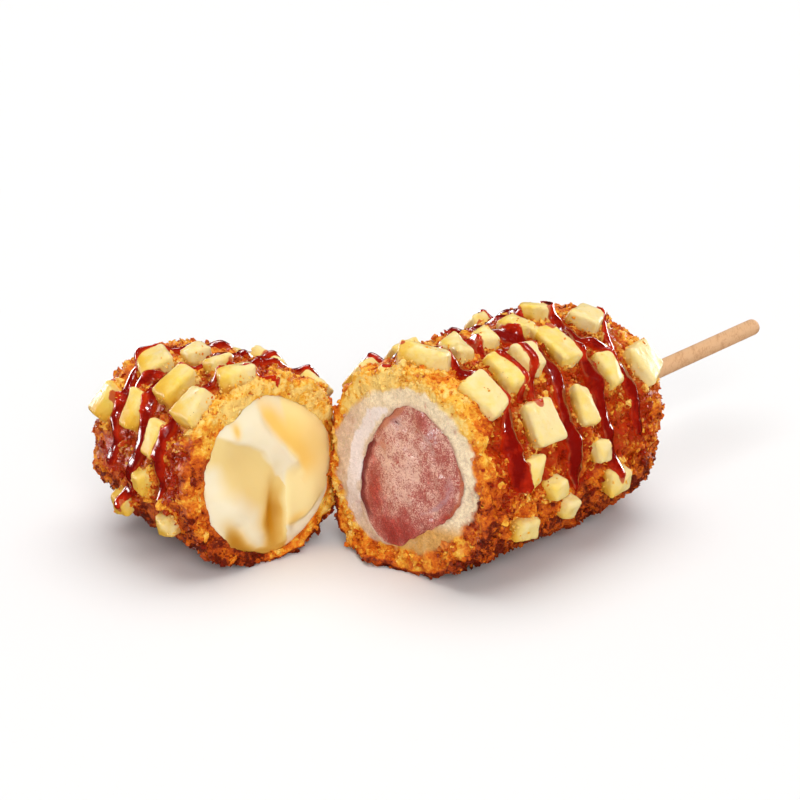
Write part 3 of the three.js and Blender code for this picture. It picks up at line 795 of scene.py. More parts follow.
# Each strand: thickness as a share, and (distance from the cut, angle, width) from end to end.
SAUSAGE_HALF_STRANDS = [
    (1.0, [(8.8, -84, 4.6), (10.4, -68, 3.4), (12.6, -50, 2.8), (13.0, -36, 2.6), (11.6, -24, 2.6),
           (10.6, -13, 2.6), (12.2, -6, 2.5), (10.2, 8, 2.6), (9.4, 18, 3.0), (12.0, 26, 3.2),
           (13.2, 35, 3.2), (13.8, 44, 3.0), (13.2, 49, 3.2), (11.6, 53, 3.8), (10.2, 58, 4.8),
           (9.6, 64, 5.4), (9.4, 71, 5.6), (9.5, 78, 5.4), (10.0, 85, 4.4), (10.6, 91, 2.8)]),
    (0.75, [(23.6, -14, 1.9), (22.6, -2, 2.2), (21.4, 6, 2.4), (20.2, 13, 2.4), (20.0, 21, 2.2),
            (21.6, 30, 2.0), (21.2, 40, 2.0), (18.6, 48, 2.4)]),
    (0.75, [(27.0, 14, 1.8), (28.0, 22, 2.2), (28.0, 30, 2.2), (26.4, 38, 2.2), (23.6, 45, 2.4),
            (20.4, 52, 2.6)]),
    (1.1, [(31.4, -92, 5.4), (33.0, -70, 3.4), (32.6, -50, 3.0), (31.2, -34, 2.8), (32.0, -16, 2.6),
           (31.2, -2, 3.4), (32.0, 7, 4.6), (33.0, 20, 4.6), (34.0, 34, 4.4), (32.8, 45, 4.2),
           (31.0, 55, 4.2), (30.0, 65, 4.4), (30.2, 75, 5.0), (30.8, 84, 6.2), (31.6, 92, 5.6),
           (32.2, 99, 2.8), (32.4, 104, 1.8)]),
    (0.95, [(44.0, -70, 4.6), (45.6, -52, 3.2), (44.2, -34, 3.0), (44.0, -16, 2.8), (42.6, 0, 2.8),
            (42.0, 9, 3.2), (42.6, 17, 2.6)]),
    (1.05, [(48.6, 8, 2.2), (48.0, 16, 2.8), (46.4, 27, 3.6), (44.6, 38, 4.6), (45.2, 49, 4.4),
            (44.2, 60, 4.2), (43.6, 74, 4.6), (44.8, 87, 5.6), (45.8, 96, 4.8), (46.2, 102, 2.4)]),
    (1.0, [(54.2, -96, 4.6), (56.2, -76, 3.4), (55.0, -52, 3.0), (52.6, -26, 2.8), (50.8, 0, 2.6),
           (48.8, 16, 3.0), (49.4, 28, 3.6), (52.6, 39, 3.8), (54.4, 50, 4.0), (55.6, 60, 4.6),
           (55.2, 70, 4.6), (55.2, 80, 4.0), (56.0, 88, 2.4)]),
    (0.7, [(63.0, 8, 1.4), (61.8, 20, 1.8), (59.2, 29, 2.2), (57.2, 36, 2.2), (55.4, 42, 2.4)]),
    (0.7, [(0.4, -19, 0.9), (1.4, -16, 1.0), (2.8, -12, 1.0), (3.4, -8, 1.2)]),
]
CHEESE_HALF_STRANDS = [
    (1.0, [(10.2, 84, 4.4), (10.8, 62, 3.2), (10.2, 38, 2.6), (10.6, 16, 2.4), (9.6, 2, 2.0),
           (8.6, -8, 2.2), (7.6, -18, 2.6), (9.2, -27, 2.8), (10.8, -38, 2.4), (10.6, -50, 2.4),
           (10.4, -62, 2.8), (10.2, -74, 3.0), (10.6, -86, 3.0), (11.4, -97, 3.0), (12.0, -106, 2.4)]),
    (0.6, [(3.6, 6, 1.1), (2.2, 3, 1.2), (1.8, -3, 1.2), (3.6, -8, 1.4)]),
    (0.7, [(-0.2, 12, 0.9), (0.5, 8, 1.0), (0.9, 3, 1.0), (2.0, 0, 0.9)]),
    (0.95, [(22.0, 96, 5.4), (22.8, 76, 3.6), (21.4, 50, 3.0), (21.2, 24, 2.8), (19.0, 4, 2.6),
            (17.4, -8, 2.6), (18.8, -19, 2.6), (22.6, -25, 3.0), (22.6, -33, 3.6), (22.6, -42, 3.4),
            (21.2, -52, 3.0), (20.2, -64, 3.2), (20.4, -76, 3.6), (21.8, -88, 3.8), (24.0, -100, 4.4),
            (26.0, -111, 2.8)]),
    (0.95, [(24.4, -28, 2.4), (27.6, -38, 3.0), (30.2, -48, 3.4), (31.6, -60, 3.4), (30.4, -73, 3.6),
            (31.2, -84, 4.2), (32.2, -93, 2.6)]),
    (0.9, [(31.0, 72, 4.4), (32.0, 48, 3.0), (30.4, 20, 2.8), (31.6, -4, 2.6), (35.2, -20, 2.6),
           (35.0, -31, 3.0), (32.8, -44, 3.0), (31.8, -54, 2.8)]),
]

# Where thin ketchup has soaked the crust: (distance from the cut, angle, reach along, degrees round).
SAUSAGE_HALF_STAINS = [
    (9.5, 70, 8, 28), (21, 50, 7, 15), (24, 78, 8, 24), (38, 48, 8, 26), (39, 84, 9, 22), (50, 74, 7, 26),
    (36, 14, 6, 10), (57, 64, 7, 32), (60, 30, 7, 18), (16, 24, 5, 10), (18, 86, 4, 14),
    (30, -70, 8, 20), (50, -70, 8, 20), (12, -66, 6, 18),
]
CHEESE_HALF_STAINS = [
    (7, -78, 6, 26), (15, -60, 6, 26), (25, -60, 6, 26), (26, -86, 6, 16), (14, -22, 5, 10), (24, -34, 6, 12),
    (12, 60, 5, 20), (26, 60, 7, 22),
]

SAUSAGE_HALF.strands, SAUSAGE_HALF.stains = SAUSAGE_HALF_STRANDS, SAUSAGE_HALF_STAINS
CHEESE_HALF.strands, CHEESE_HALF.stains = CHEESE_HALF_STRANDS, CHEESE_HALF_STAINS

# How deep the crumb reaches into the sausage half's cut face, in millimetres, at angles round it.
CRUMB_ANGLES = (-180, -160, -145, -133, -120, -95, -75, -57, -40, -15,
                7, 37, 52, 62, 72, 94, 108, 125, 150, 180)
CRUMB_DEPTHS = (5.5, 4.5, 1.5, 0.0, 0.8, 2.0, 2.2, 3.7, 4.0, 4.3,
                2.9, 2.3, 1.3, 1.8, 3.0, 2.9, 4.6, 5.5, 5.5, 5.5)

# The middle of the wet pale dough beside the sausage, as (x, z), and how far it reaches to each side.
STEAMED_BAND = [(-6.5, 14.6), (-11.5, 12.2), (-14.2, 7.7), (-16.2, 2.8), (-17.2, -4.0), (-17.9, -8.8),
                (-17.8, -13.5), (-16.0, -17.2)]
STEAMED_HALF_WIDTHS = (0.9, 1.6, 1.9, 2.3, 2.2, 2.3, 3.0, 2.2)


STRAND_STEP = 0.5
SAUCE_FLOW = 5  # rounds of softening that run the strands together
RAY_START = 60  # from the axis, outside everything
RAY_REACH = 0.05  # in metres


def strand_samples(half, points, step=STRAND_STEP):
    """A strand as evenly spaced, smoothed samples: distance from the cut, angle, and width."""
    along, angle, width = np.array(points, dtype=float).T
    reach = np.radians(angle) * half.radius
    run = np.concatenate([[0], np.cumsum(np.hypot(np.diff(along), np.diff(reach)))])
    even = np.linspace(0, run[-1], max(int(run[-1] / step), 4) + 1)
    window = np.hanning(11)[1:-1]
    window = window / window.sum()
    smooth = [np.interp(even, run, values) for values in (along, reach, width)]
    pad = len(window) // 2
    for n in range(3):
        ends = np.concatenate([2 * smooth[n][0] - smooth[n][pad:0:-1], smooth[n],
                               2 * smooth[n][-1] - smooth[n][-2:-pad - 2:-1]])
        smooth[n] = np.convolve(ends, window, mode="valid")
    return smooth[0], smooth[1], smooth[2]


def sauce_reach(half, strands, along, angle):
    """How far places on the skin are from the edge of the nearest strand, in millimetres."""
    near = np.full(np.shape(along), 1e3)
    reach = np.radians(angle) * half.radius
    for _, points in strands:
        s, r, w = strand_samples(half, points, 1.0)
        for a, b, c in zip(s, r, w):
            near = np.minimum(near, np.hypot(along - a, reach - b) - c / 2)
    return near


# ---------------------------------------------------------------- crust


def face_wave(points):
    """How far the cut face of the crust stands out at each point."""
    return FACE_WAVE * noise(points[:, 0] / FACE_WAVE_SIZE, 5, points[:, 2] / FACE_WAVE_SIZE)


def crust_rings(half, angle, step):
    """Rings of the coating from inside the bore over the cut face and the skin to the far end.

    Each ring comes with its distance from the cut on the skin, its share across the face (over 1 on the skin)
    and how much relief it may take.
    """
    filled = sausage_ring if half is SAUSAGE_HALF else cheese_ring
    filling = SAUSAGE if half is SAUSAGE_HALF else CHEESE
    rings = []

    def add(points, along, face, relief):
        points = np.array(points)
        points[:, 2] = np.maximum(points[:, 2], half.floor())
        rings.append((points, along, face, relief))

    if half is SAUSAGE_HALF:
        add(filling_place(ring(STICK["radius"] + GAP, filling["length"] + GAP, angle)), 0, -1, 0)
    else:
        add(filled(filling["length"] - 0.3, angle, push=FLUSH), 0, -1, 0)
    for share in (0.96, 0.85, 0.6, 0.3, 0.12, 0.05, 0.02):
        add(filled(share * filling["length"], angle, push=FLUSH), 0, -1, 0)

    height = crust_rise(half, 0.0, angle, half.radius)
    hang = half.lip[2] * bump_share(half.lip, angle)
    inner = filled(0.0, angle, push=FLUSH)
    outer = ring(half.radius - RIM_ROUND + height, 0.0, angle)
    rows = int(np.mean(np.linalg.norm(outer - inner, axis=1)) / step)
    turn = np.radians(angle)
    ragged = 0.3 + 0.35 * noise(9 * np.cos(turn), 3, 9 * np.sin(turn))
    ragged = ragged + 0.2 * noise(23 * np.cos(turn), 7, 23 * np.sin(turn))
    for row in range(rows + 1):
        share = row / rows
        points = inner + (outer - inner) * share
        points[:, 1] = face_wave(points) - hang * smoothstep(share, 0.2, 0.9)
        if row < 2:
            points = filled(0.0, angle, push=-ragged * (1.0 - 0.6 * row))
            points[:, 1] = -0.08 - 0.06 * row
        add(points, 0, share, min(1.0, 3 * share))

    for turn in (0.28, 0.52, 0.76):
        q = turn * math.pi / 2
        radius = half.radius - RIM_ROUND * (1 - math.sin(q)) + height
        points = ring(radius, 0.0, angle)
        wave = face_wave(points) * (1 - turn)
        points[:, 1] = RIM_ROUND * (1 - math.cos(q)) + wave - hang * (1 - turn)
        add(points, RIM_ROUND * turn, 1 + turn, 1)

    for along in np.arange(RIM_ROUND, half.straight(), step):
        radius = half.skin_radius(along)
        add(ring(radius + crust_rise(half, along, angle, radius), along, angle), along, 2, 1)

    add_cap(half, angle, step, add)
    return rings


def add_cap(half, angle, step, add):
    """The rounded far end, with the stick's tunnel in it where there is a stick."""
    tunnel = STICK["radius"] + GAP
    mouth = filling_place((0, half.length, 0))[[0, 2]] if half is SAUSAGE_HALF else np.zeros(2)
    rows = int(0.5 * math.pi * half.end_length / step * 1.15)
    turn = np.radians(angle)
    out = np.stack([np.sin(turn), np.zeros_like(turn), np.cos(turn)], -1)
    for row in range(rows):
        q = (row + 0.5) / rows * math.pi / 2
        reach = half.far_radius * math.cos(q) ** (2 / half.end_power)
        if half is SAUSAGE_HALF and reach < tunnel + 0.35:
            break
        centre = mouth * (1 - reach / half.far_radius)
        points = ring(reach, 0.0, angle, centre)
        points[:, 1] = half.cap_along(np.hypot(points[:, 0], points[:, 2]))
        height = crag(points[:, 1], angle, reach)[:, None]
        points += height * (math.cos(q) * out + math.sin(q) * np.array([0.0, 1.0, 0.0]))
        add(points, points[:, 1], 2, 1)
    if half is SAUSAGE_HALF:
        points = ring(tunnel, 0.0, angle, mouth)
        points[:, 1] = half.cap_along(np.hypot(points[:, 0], points[:, 2]))
        add(points, half.length, 2, 0)
        add(filling_place(ring(tunnel, half.length - 4, angle)), 0, -1, 0)


def press_dent(points):
    """Moves the skin of the sausage half out of the other half's rim, which is pressed into it."""
    local = CHEESE_HALF.unplace(SAUSAGE_HALF.place(points))
    reach = np.hypot(local[:, 0], local[:, 2])
    angle = np.degrees(np.arctan2(local[:, 0], local[:, 2]))
    limit = CHEESE_HALF.skin_radius(np.clip(local[:, 1], 0, CHEESE_HALF.length))
    limit = limit + crust_rise(CHEESE_HALF, np.maximum(local[:, 1], 0), angle, limit) + GAP
    inside = (local[:, 1] > -GAP) & (local[:, 1] < CHEESE_HALF.straight()) & (reach < limit) & (reach > 5)
    grow = np.where(inside, limit / np.maximum(reach, 1), 1.0)
    local[:, 0] *= grow
    local[:, 2] *= grow
    return SAUSAGE_HALF.unplace(CHEESE_HALF.place(local))


def crust_masks(half, points, along, angle, face):
    """How fried and soaked each point of the crust is, with painted shade towards the bottom, and what its
    dough is like, each from 0 to 1.
    """
    skin = face >= 1
    rough = grain(points, 2.2)
    broad = grain(points, 6.5, 3.0)
    fine = grain(points, 1.1, 9.0)
    bottom = smoothstep(np.abs(angle) + 4 * broad, 88, 122)
    end = smoothstep(along, half.length - 0.5 * half.end_length, half.length)
    pale_reach = 1.6 + 2.8 * np.exp(-(angle / 45) ** 2)
    rim = 1 - smoothstep(along + 0.9 * rough, 0.4 * pale_reach, pale_reach)
    paler_end = 0.08 if half is SAUSAGE_HALF else 0.22
    # The bottom term is painted shade: the crust darkens towards the bottom.
    toast = 0.50 + 0.12 * broad + 0.10 * rough + 0.28 * bottom - paler_end * end
    toast = toast - rim * (1 - bottom) * (0.04 + 0.24 * np.exp(-(angle / 60) ** 2))
    toast = toast + 0.10 * smoothstep(np.abs(angle), 55, 85)
    outward = angle if half is SAUSAGE_HALF else -angle
    face_toast = 0.02 + 0.18 * broad + 0.18 * rough + 0.62 * smoothstep(outward, 30, 80)
    face_toast = face_toast + 0.22 * smoothstep(-outward, 40, 100)
    if half is SAUSAGE_HALF:
        face_toast = face_toast - 0.25 * smoothstep(angle, 85, 125)
        face_toast = face_toast + 0.12 * smoothstep(np.abs(angle), 120, 150)
        face_toast = face_toast + 0.5 * bump_share((-160, 11), angle) * smoothstep(face, 0.6, 0.8)
    else:
        face_toast = face_toast + 0.22 * smoothstep(np.abs(angle), 115, 160)
    toast = np.where(skin, toast, face_toast)

    stain = 1 - smoothstep(sauce_reach(half, half.strands, along, angle) + 1.2 * rough, 0.2, 3.2)
    for at, turn, reach, spread in half.stains:
        blot = np.hypot((along - at) / reach, (angle - turn) / spread) + 0.25 * rough + 0.18 * fine
        stain = np.maximum(stain, 0.85 * (1 - smoothstep(blot, 0.55, 1.3)))
    stain = stain * skin * smoothstep(along + 0.6 * rough, 1.6, 3.6) * (1 - 0.5 * bottom)

    masks = {"toast": toast, "stain": stain}
    masks.update(dough_masks(half, points, angle, face, rough, broad, fine))
    return masks


def dough_masks(half, points, angle, face, rough, broad, fine):
    """The soft dough between crumb and sausage: how much shows, where it is wet, blushed or oily, and where
    glints and shade are painted on it.
    """
    names = ("dough", "steamed", "blushed", "oily")
    if half is CHEESE_HALF:
        return {name: np.zeros(len(points)) for name in names}
    x, z, share = sausage_share(points)
    from_sausage = (share - 1) * SAUSAGE["across"]
    from_rim = half.radius - RIM_ROUND - np.hypot(points[:, 0], points[:, 2])
    at_cut = (face < 1) & (face > -0.5)
    crumb = np.interp(angle, CRUMB_ANGLES, CRUMB_DEPTHS)
    dough = smoothstep(from_rim + 0.9 * rough + 0.6 * fine, crumb - 0.5, crumb + 0.7)
    below = smoothstep(-z + 0.22 * x + 1.2 * broad + 0.5 * rough, 9.5, 14.5)
    below = below * smoothstep(x + rough, -8.0, -3.0)
    away, along = distance_to_path(points[:, 0] + 0.5 * rough, points[:, 2] + 0.5 * fine, STEAMED_BAND)
    places = np.linspace(0, 1, len(STEAMED_BAND))
    half_width = np.interp(along, places, STEAMED_HALF_WIDTHS)
    band = 1 - smoothstep(np.abs(away), half_width - 0.5, half_width + 0.4)
    band = band * np.interp(along, places, (1.0, 1.0, 1.0, 0.95, 0.85, 0.75, 0.6, 0.4))
    # Painted glints: pale speckles just outside the sausage's lower right edge.
    painted_glints = np.exp(-((from_sausage - 0.6) / 0.7) ** 2) * smoothstep(x, -3, 2) * smoothstep(-z, 8, 10.5)
    low_left = smoothstep(-x - 0.3 * z + 1.5 * broad, 9.0, 17.0)
    # Painted shade: a thin ring of dark blush right beside the sausage.
    shade_beside_sausage = 1.6 - 1.6 * smoothstep(from_sausage, -0.5, 0.3)
    return {
        "dough": np.where(face < 0, 1.0, dough * at_cut),
        "steamed": np.maximum(band, 0.8 * painted_glints * (rough > 0.05)) * at_cut,
        # The bore's wall gets the full blush colour as painted shade; the lower left is blushed dough.
        "blushed": np.where(face < 0, 2.0, np.maximum(low_left, shade_beside_sausage) * at_cut),
        "oily": below * at_cut,
    }


def raise_round(half, points, angle, potatoes, face):
    """Batter climbs a little up the sides of the cubes, and covers their corners in the cut face."""
    away = nearest_distance(potatoes, half.place(points), 4 * MM) / MM
    turn = np.radians(angle)
    out = np.stack([np.sin(turn), np.zeros_like(turn), np.cos(turn)], -1)
    rise = 0.85 * np.exp(-(away / 1.2) ** 2) * smoothstep(face, 0.5, 1.3)
    points = points + out * rise[:, None]
    cover = 0.9 * np.exp(-(away / 1.6) ** 2) * smoothstep(face, 0.2, 0.5) * (1 - smoothstep(face, 1.0, 1.6))
    points[:, 1] -= cover
    return points, away


def relief_tree():
    """Lumps and granules that push the crust in and out along its normals."""
    net = GeometryNet("crust relief", {
        "Lump size": "number", "Lump height": "number", "Granule size": "number", "Granule height": "number",
        "Material": "material"})
    where = net.node("GeometryNodeInputPosition")
    granule_scale = net.node("ShaderNodeMath", {"operation": "DIVIDE"}, {
        0: 1.0, 1: net.given("Granule size")})
    lump_scale = net.node("ShaderNodeMath", {"operation": "DIVIDE"}, {0: 1.0, 1: net.given("Lump size")})
    lumps = net.node("ShaderNodeTexVoronoi", {"feature": "SMOOTH_F1"}, {
        "Vector": where, "Scale": lump_scale, "Smoothness": 0.35}, "Distance")
    granules = net.node("ShaderNodeTexVoronoi", {}, {"Vector": where, "Scale": granule_scale}, "Distance")
    small = net.node("ShaderNodeTexVoronoi", {}, {"Vector": where, "Scale": granule_scale * 1.9}, "Distance")
    patches = net.node("ShaderNodeTexNoise", {}, {"Vector": where, "Scale": lump_scale * 0.6, "Detail": 1.0})
    rough = net.step(patches, 0.38, 0.62)
    between = granules * 0.62 + small * 0.38
    relief = net.attribute("relief")
    height = (0.45 - lumps) * net.given("Lump height") * 2.2
    height = height + (0.42 - between) * net.given("Granule height") * (0.5 + 1.3 * rough)
    normal = net.node("GeometryNodeInputNormal")
    offset = net.node("ShaderNodeVectorMath", {"operation": "SCALE"}, {0: normal, "Scale": height * relief})
    # hollow: how deep a point lies among lumps and granules; the crust material darkens hollows with it, as
    # painted shade
    stored = net.store(net.given(), "hollow", lumps * 0.5 + between * 0.5)
    moved = net.node("GeometryNodeSetPosition", {}, {"Geometry": stored, "Offset": offset})
    net.end(moved)
    return net


def crumb_tree():
    """Crumbs of uneven size and shape, scattered where the crust has room for them."""
    net = GeometryNet("crumb scatter", {
        "Spacing": "number", "Size": "number", "Length": "number", "Smallest": "number", "Faces": "whole",
        "Seed": "whole", "Material": "material"})
    seed = net.given("Seed")
    points = net.node("GeometryNodeDistributePointsOnFaces", {"distribute_method": "POISSON"}, {
        "Mesh": net.given(), "Distance Min": net.given("Spacing"), "Density Max": 4e6,
        "Density Factor": net.attribute("room"), "Seed": seed}, "Points")
    points = net.store(points, "shade", net.random(0.0, 1.0, seed + 5))
    small = net.given("Smallest")
    size = (small + (1 - small) * net.random(0.0, 1.0, seed + 1) ** 2.2) * net.given("Size") * 0.5
    stretch = net.given("Length")
    scale = net.vector(
        size * net.random(1.0, stretch, seed + 2), size, size * net.random(0.55, 0.9, seed + 3))
    turn = net.vector(*(net.random(0.0, FULL_TURN, seed + n) for n in (6, 7, 8)))
    chunk = net.node("GeometryNodeMeshIcoSphere", {}, {
        "Radius": 1.0, "Subdivisions": net.given("Faces")}, "Mesh")
    placed = net.node("GeometryNodeInstanceOnPoints", {}, {
        "Points": points, "Instance": chunk, "Rotation": turn, "Scale": scale})
    real = net.node("GeometryNodeRealizeInstances", {}, {"Geometry": placed})
    where = net.node("GeometryNodeInputPosition")
    push = net.node("ShaderNodeTexNoise", {}, {
        "Vector": where, "Scale": 1 / (0.7 * MM), "Detail": 0.0}, "Color")
    push = net.node("ShaderNodeVectorMath", {"operation": "SUBTRACT"}, {0: push, 1: (0.5, 0.5, 0.5)})
    push = net.node("ShaderNodeVectorMath", {"operation": "SCALE"}, {
        0: push, "Scale": net.given("Size") * 0.9})
    net.end(net.node("GeometryNodeSetPosition", {}, {"Geometry": real, "Offset": push}))
    return net


def crust_material(look):
    """Fried crumb: mottled from straw to brown, darker in its hollows as painted shade, with pale dough
    inside and ketchup soaked in.
    """
    net = ShaderNet("fried crust")
    toast, stain, shade = net.attribute("toast"), net.attribute("stain"), net.attribute("shade")
    hollow, dough, steamed = net.attribute("hollow"), net.attribute("dough"), net.attribute("steamed")
    blushed, oily = net.attribute("blushed"), net.attribute("oily")
    patch, fine, dust = net.noise(3.0), net.noise(0.8, 3.0, 0.6), net.noise(0.3, 2.0)
    # The hollow term is painted shade: crumb turns browner in the hollows and paler on the peaks.
    level = toast + (patch - 0.5) * 1.0 + (fine - 0.5) * 0.8 + (dust - 0.5) * 0.3 + (hollow - 0.42) * 0.6
    level = level - (shade - 0.5) * 0.6
    colour = net.ramp(level, [
        (0.0, look.straw), (0.24, look.golden), (0.52, look.amber), (0.8, look.brown), (1.0, look.dark)])
    # Blush, and painted shade on the bore's wall and beside the sausage.
    soft = net.mix(look.dough, look.blushed, (blushed * (0.6 + 1.3 * (patch - 0.4))).clamp())
    soft = net.mix(soft, look.oily, (oily + (patch - 0.5) * 0.6).clamp() * 0.9)
    # The hollow term paints shade on the dough too.
    soft = net.shade(soft, 0.96 + 0.7 * (fine - 0.5) + 0.6 * (dust - 0.5) + 0.4 * (0.42 - hollow))
    colour = net.mix(colour, soft, (dough + (fine - 0.5) * 0.8 * dough).clamp())
    # The steamed colour also paints glints beside the sausage.
    wet = net.shade(look.steamed, 1.0 + 0.35 * (fine - 0.5) + 0.3 * (dust - 0.5))
    moist = net.step(steamed + (patch - 0.5) * 0.5 + (fine - 0.5) * 0.5, 0.2, 0.9)
    colour = net.mix(colour, wet, moist * 0.9)
    soak = net.step(stain + (fine - 0.5) * 1.1 + (hollow - 0.42) * 1.5 - (shade - 0.5) * 0.8, 0.3, 0.95)
    red = net.shade(look.stain, 0.75 + 1.6 * (fine - 0.4) + 0.6 * shade)
    colour = net.mix(colour, red, soak * 0.85)
    rough = 0.50 - 0.28 * soak - 0.15 * steamed + 0.4 * (dust - 0.5)
    return net.finish({
        "Base Color": colour, "Roughness": rough.clamp(), "Coat Weight": (0.08 + 0.34 * soak).clamp(),
        "Coat Roughness": 0.16, "Specular IOR Level": 0.2,
        "Normal": net.bump(fine * 0.9 + dust * 0.7, 0.8, 0.4)})


def fry_crust(half, look, potatoes, material):
    """The coating of one half, as a fine mesh over the solid's own form."""
    columns = int(2 * math.pi * half.radius / (look.step / MM))
    angle = np.linspace(0, 360, columns, endpoint=False)
    rings = crust_rings(half, angle, look.step / MM)
    points = np.concatenate([points for points, *_ in rings])
    spread = [np.concatenate([np.broadcast_to(row[n], columns) for row in rings]) for n in (1, 2, 3)]
    along, face, relief = (np.array(values, dtype=float) for values in spread)
    angles = np.tile(np.where(angle > 180, angle - 360, angle), len(rings))
    points, away = raise_round(half, points, angles, potatoes, face)
    if half is SAUSAGE_HALF:
        points = np.where((face >= 0)[:, None], press_dent(points), points)
    masks = crust_masks(half, points, along, angles, face)
    near_cubes = np.exp(-(away / 1.8) ** 2)
    masks["toast"] = masks["toast"] - 0.2 * near_cubes * (face >= 1)
    masks["stain"] = masks["stain"] * (1 - 0.3 * near_cubes)
    masks["relief"] = relief * (1 - 0.72 * masks["dough"]) * (1 - 0.85 * masks["steamed"])
    crumby = (face > 0.15) * (1 - masks["dough"]) * (1 - masks["steamed"]) * relief
    under_sauce = 1 - smoothstep(-sauce_reach(half, half.strands, along, angles), -0.3, 0.6) * (face >= 1)
    clusters = smoothstep(0.6 * grain(points, 3.6, 12.0) + 0.4 * grain(points, 7.5, 15.0), -0.30, 0.30)
    masks["room"] = crumby * under_sauce * np.maximum(0.22 + 0.7 * clusters, 0.95 * near_cubes)
    masks["shade"] = np.full(len(points), 0.5)

    poles = {}
    if half is CHEESE_HALF:
        poles = {
            "first_pole": (0, CHEESE["length"] + FLUSH, -CHEESE["drop"]),
            "last_pole": (0, half.length + float(crag(half.length, 0.0, 0.0)), 0)}
        masks = {key: np.concatenate([values, [0, values[-1]]]) for key, values in masks.items()}
    size = len(angle)
    stacked = [points[n * size:(n + 1) * size] for n in range(len(rings))]
    skin, faces = closed_skin(stacked, **poles)
    crust = add_object("crust_" + half.name, make_mesh("crust_" + half.name, half.place(skin), faces, masks))
    mesh = relief_tree().apply(
        crust, Lump_size=look.lump_size, Lump_height=look.lump_height, Granule_size=look.granule_size,
        Granule_height=look.granule_height, Material=material)
    keep_in_box(mesh)
    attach(crust, "root")
    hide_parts("coating_" + half.name)


def scatter_crumbs(half, crust, cubes, look, potato_look, material):
    """Small crumbs and longer flakes over one half's crust, and crumbs that stick to its cubes."""
    kinds = [
        ("crumbs_", crust, {
            "Spacing": look.crumb_spacing, "Size": look.crumb_size,
            "Length": 1.5, "Smallest": 0.4, "Faces": 1, "Seed": 11}),
        ("flakes_", crust, {
            "Spacing": look.flake_spacing, "Size": look.flake_size,
            "Length": 1.7, "Smallest": 0.4, "Faces": 2, "Seed": 29}),
        ("cube_crumbs_", cubes, {
            "Spacing": potato_look.crumb_spacing, "Size": potato_look.crumb_size,
            "Length": 1.5, "Smallest": 0.35, "Faces": 1, "Seed": 41}),
    ]
    net = crumb_tree()
    for name, under, values in kinds:
        crumbs = add_object(name + half.name, under.data.copy())
        keep_in_box(net.apply(crumbs, Material=material, **values))
        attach(crumbs, "root")


# ---------------------------------------------------------------- potato cubes


def potato_names(half):
    """The nodes of the cubes that lie on this half."""
    names = sorted(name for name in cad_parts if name.startswith("potato_"))
    return [name for name in names if nearest_half(name) is half]


def nearest_half(name):
    low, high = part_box(name)
    middle = np.array((low + high) / 2)
    reach = {}
    for half in (SAUSAGE_HALF, CHEESE_HALF):
        x, y, z = half.unplace(middle)
        reach[half] = abs(math.hypot(x, z) - half.skin_radius(np.clip(y, 0, half.length))) + 100 * (y < 0)
    return min(reach, key=reach.get)


def joined_cubes(names, swell):
    """The cubes' solids, a little swollen, as points and faces of one mesh."""
    points, faces = [], []
    for name in names:
        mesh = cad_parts[name].data
        middle = sum(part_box(name), Vector()) / 2
        found = {}
        for face in mesh.polygons:
            corners = []
            for i in face.vertices:
                corner = mesh.vertices[i].co
                key = tuple(round(value, 6) for value in corner)
                if key not in found:
                    found[key] = len(points)
                    points.append(middle + (corner - middle) * (1 + swell))
                corners.append(found[key])
            if len(set(corners)) == len(corners):
                faces.append(tuple(corners))
    return np.array(points), faces


def potato_material(look):
    """Fried potato: pale to yellow from cube to cube, golden where it meets the crust and, as painted shade,
    on the side away from the light, with fine specks.
    """
    net = ShaderNet("fried potato")
    cube, sunk, low, stain = (net.attribute(name) for name in ("cube", "sunk", "low", "stain"))
    cloud, fine = net.noise(2.6), net.noise(0.5, 3.0)
    # The low attribute paints shade: yellow, golden and fried colour gather on the side away from the light.
    colour = net.mix(look.ivory, look.yellow, (cube * 0.7 + (cloud - 0.5) * 1.8 + low * 0.4 + 0.2).clamp())
    golden_and_shade = net.step(low + sunk * 0.4 + (cloud - 0.5) * 0.7 + (cube - 0.5) * 0.4, -0.1, 0.95)
    colour = net.mix(colour, look.golden, golden_and_shade * 0.95)
    fried = net.step(sunk + low * 0.4 + (cloud - 0.5) * 0.9 + (fine - 0.5) * 0.4, 0.5, 1.05)
    colour = net.mix(colour, look.fried, fried * 0.8)
    specks = net.cells(1.25)
    chosen = net.step(net.noise(2.0), 0.5, 0.62)
    speck = (1 - net.step(specks, 0.05, 0.11)) * chosen
    colour = net.mix(colour, look.speck, speck * 0.8)
    colour = net.mix(colour, look.soaked, net.step(stain + (fine - 0.5) * 0.4, 0.4, 0.8) * 0.9)
    return net.finish({
        "Base Color": colour, "Roughness": 0.42 + 0.25 * (fine - 0.5), "Specular IOR Level": 0.4,
        "Coat Weight": 0.2, "Coat Roughness": 0.2, "Subsurface Weight": 0.2,
        "Subsurface Radius": (1.0, 0.7, 0.25), "Subsurface Scale": 0.0012,
        "Normal": net.bump(cloud * 0.8 + fine * 0.5 + speck * -0.4, 0.5, 0.5)})


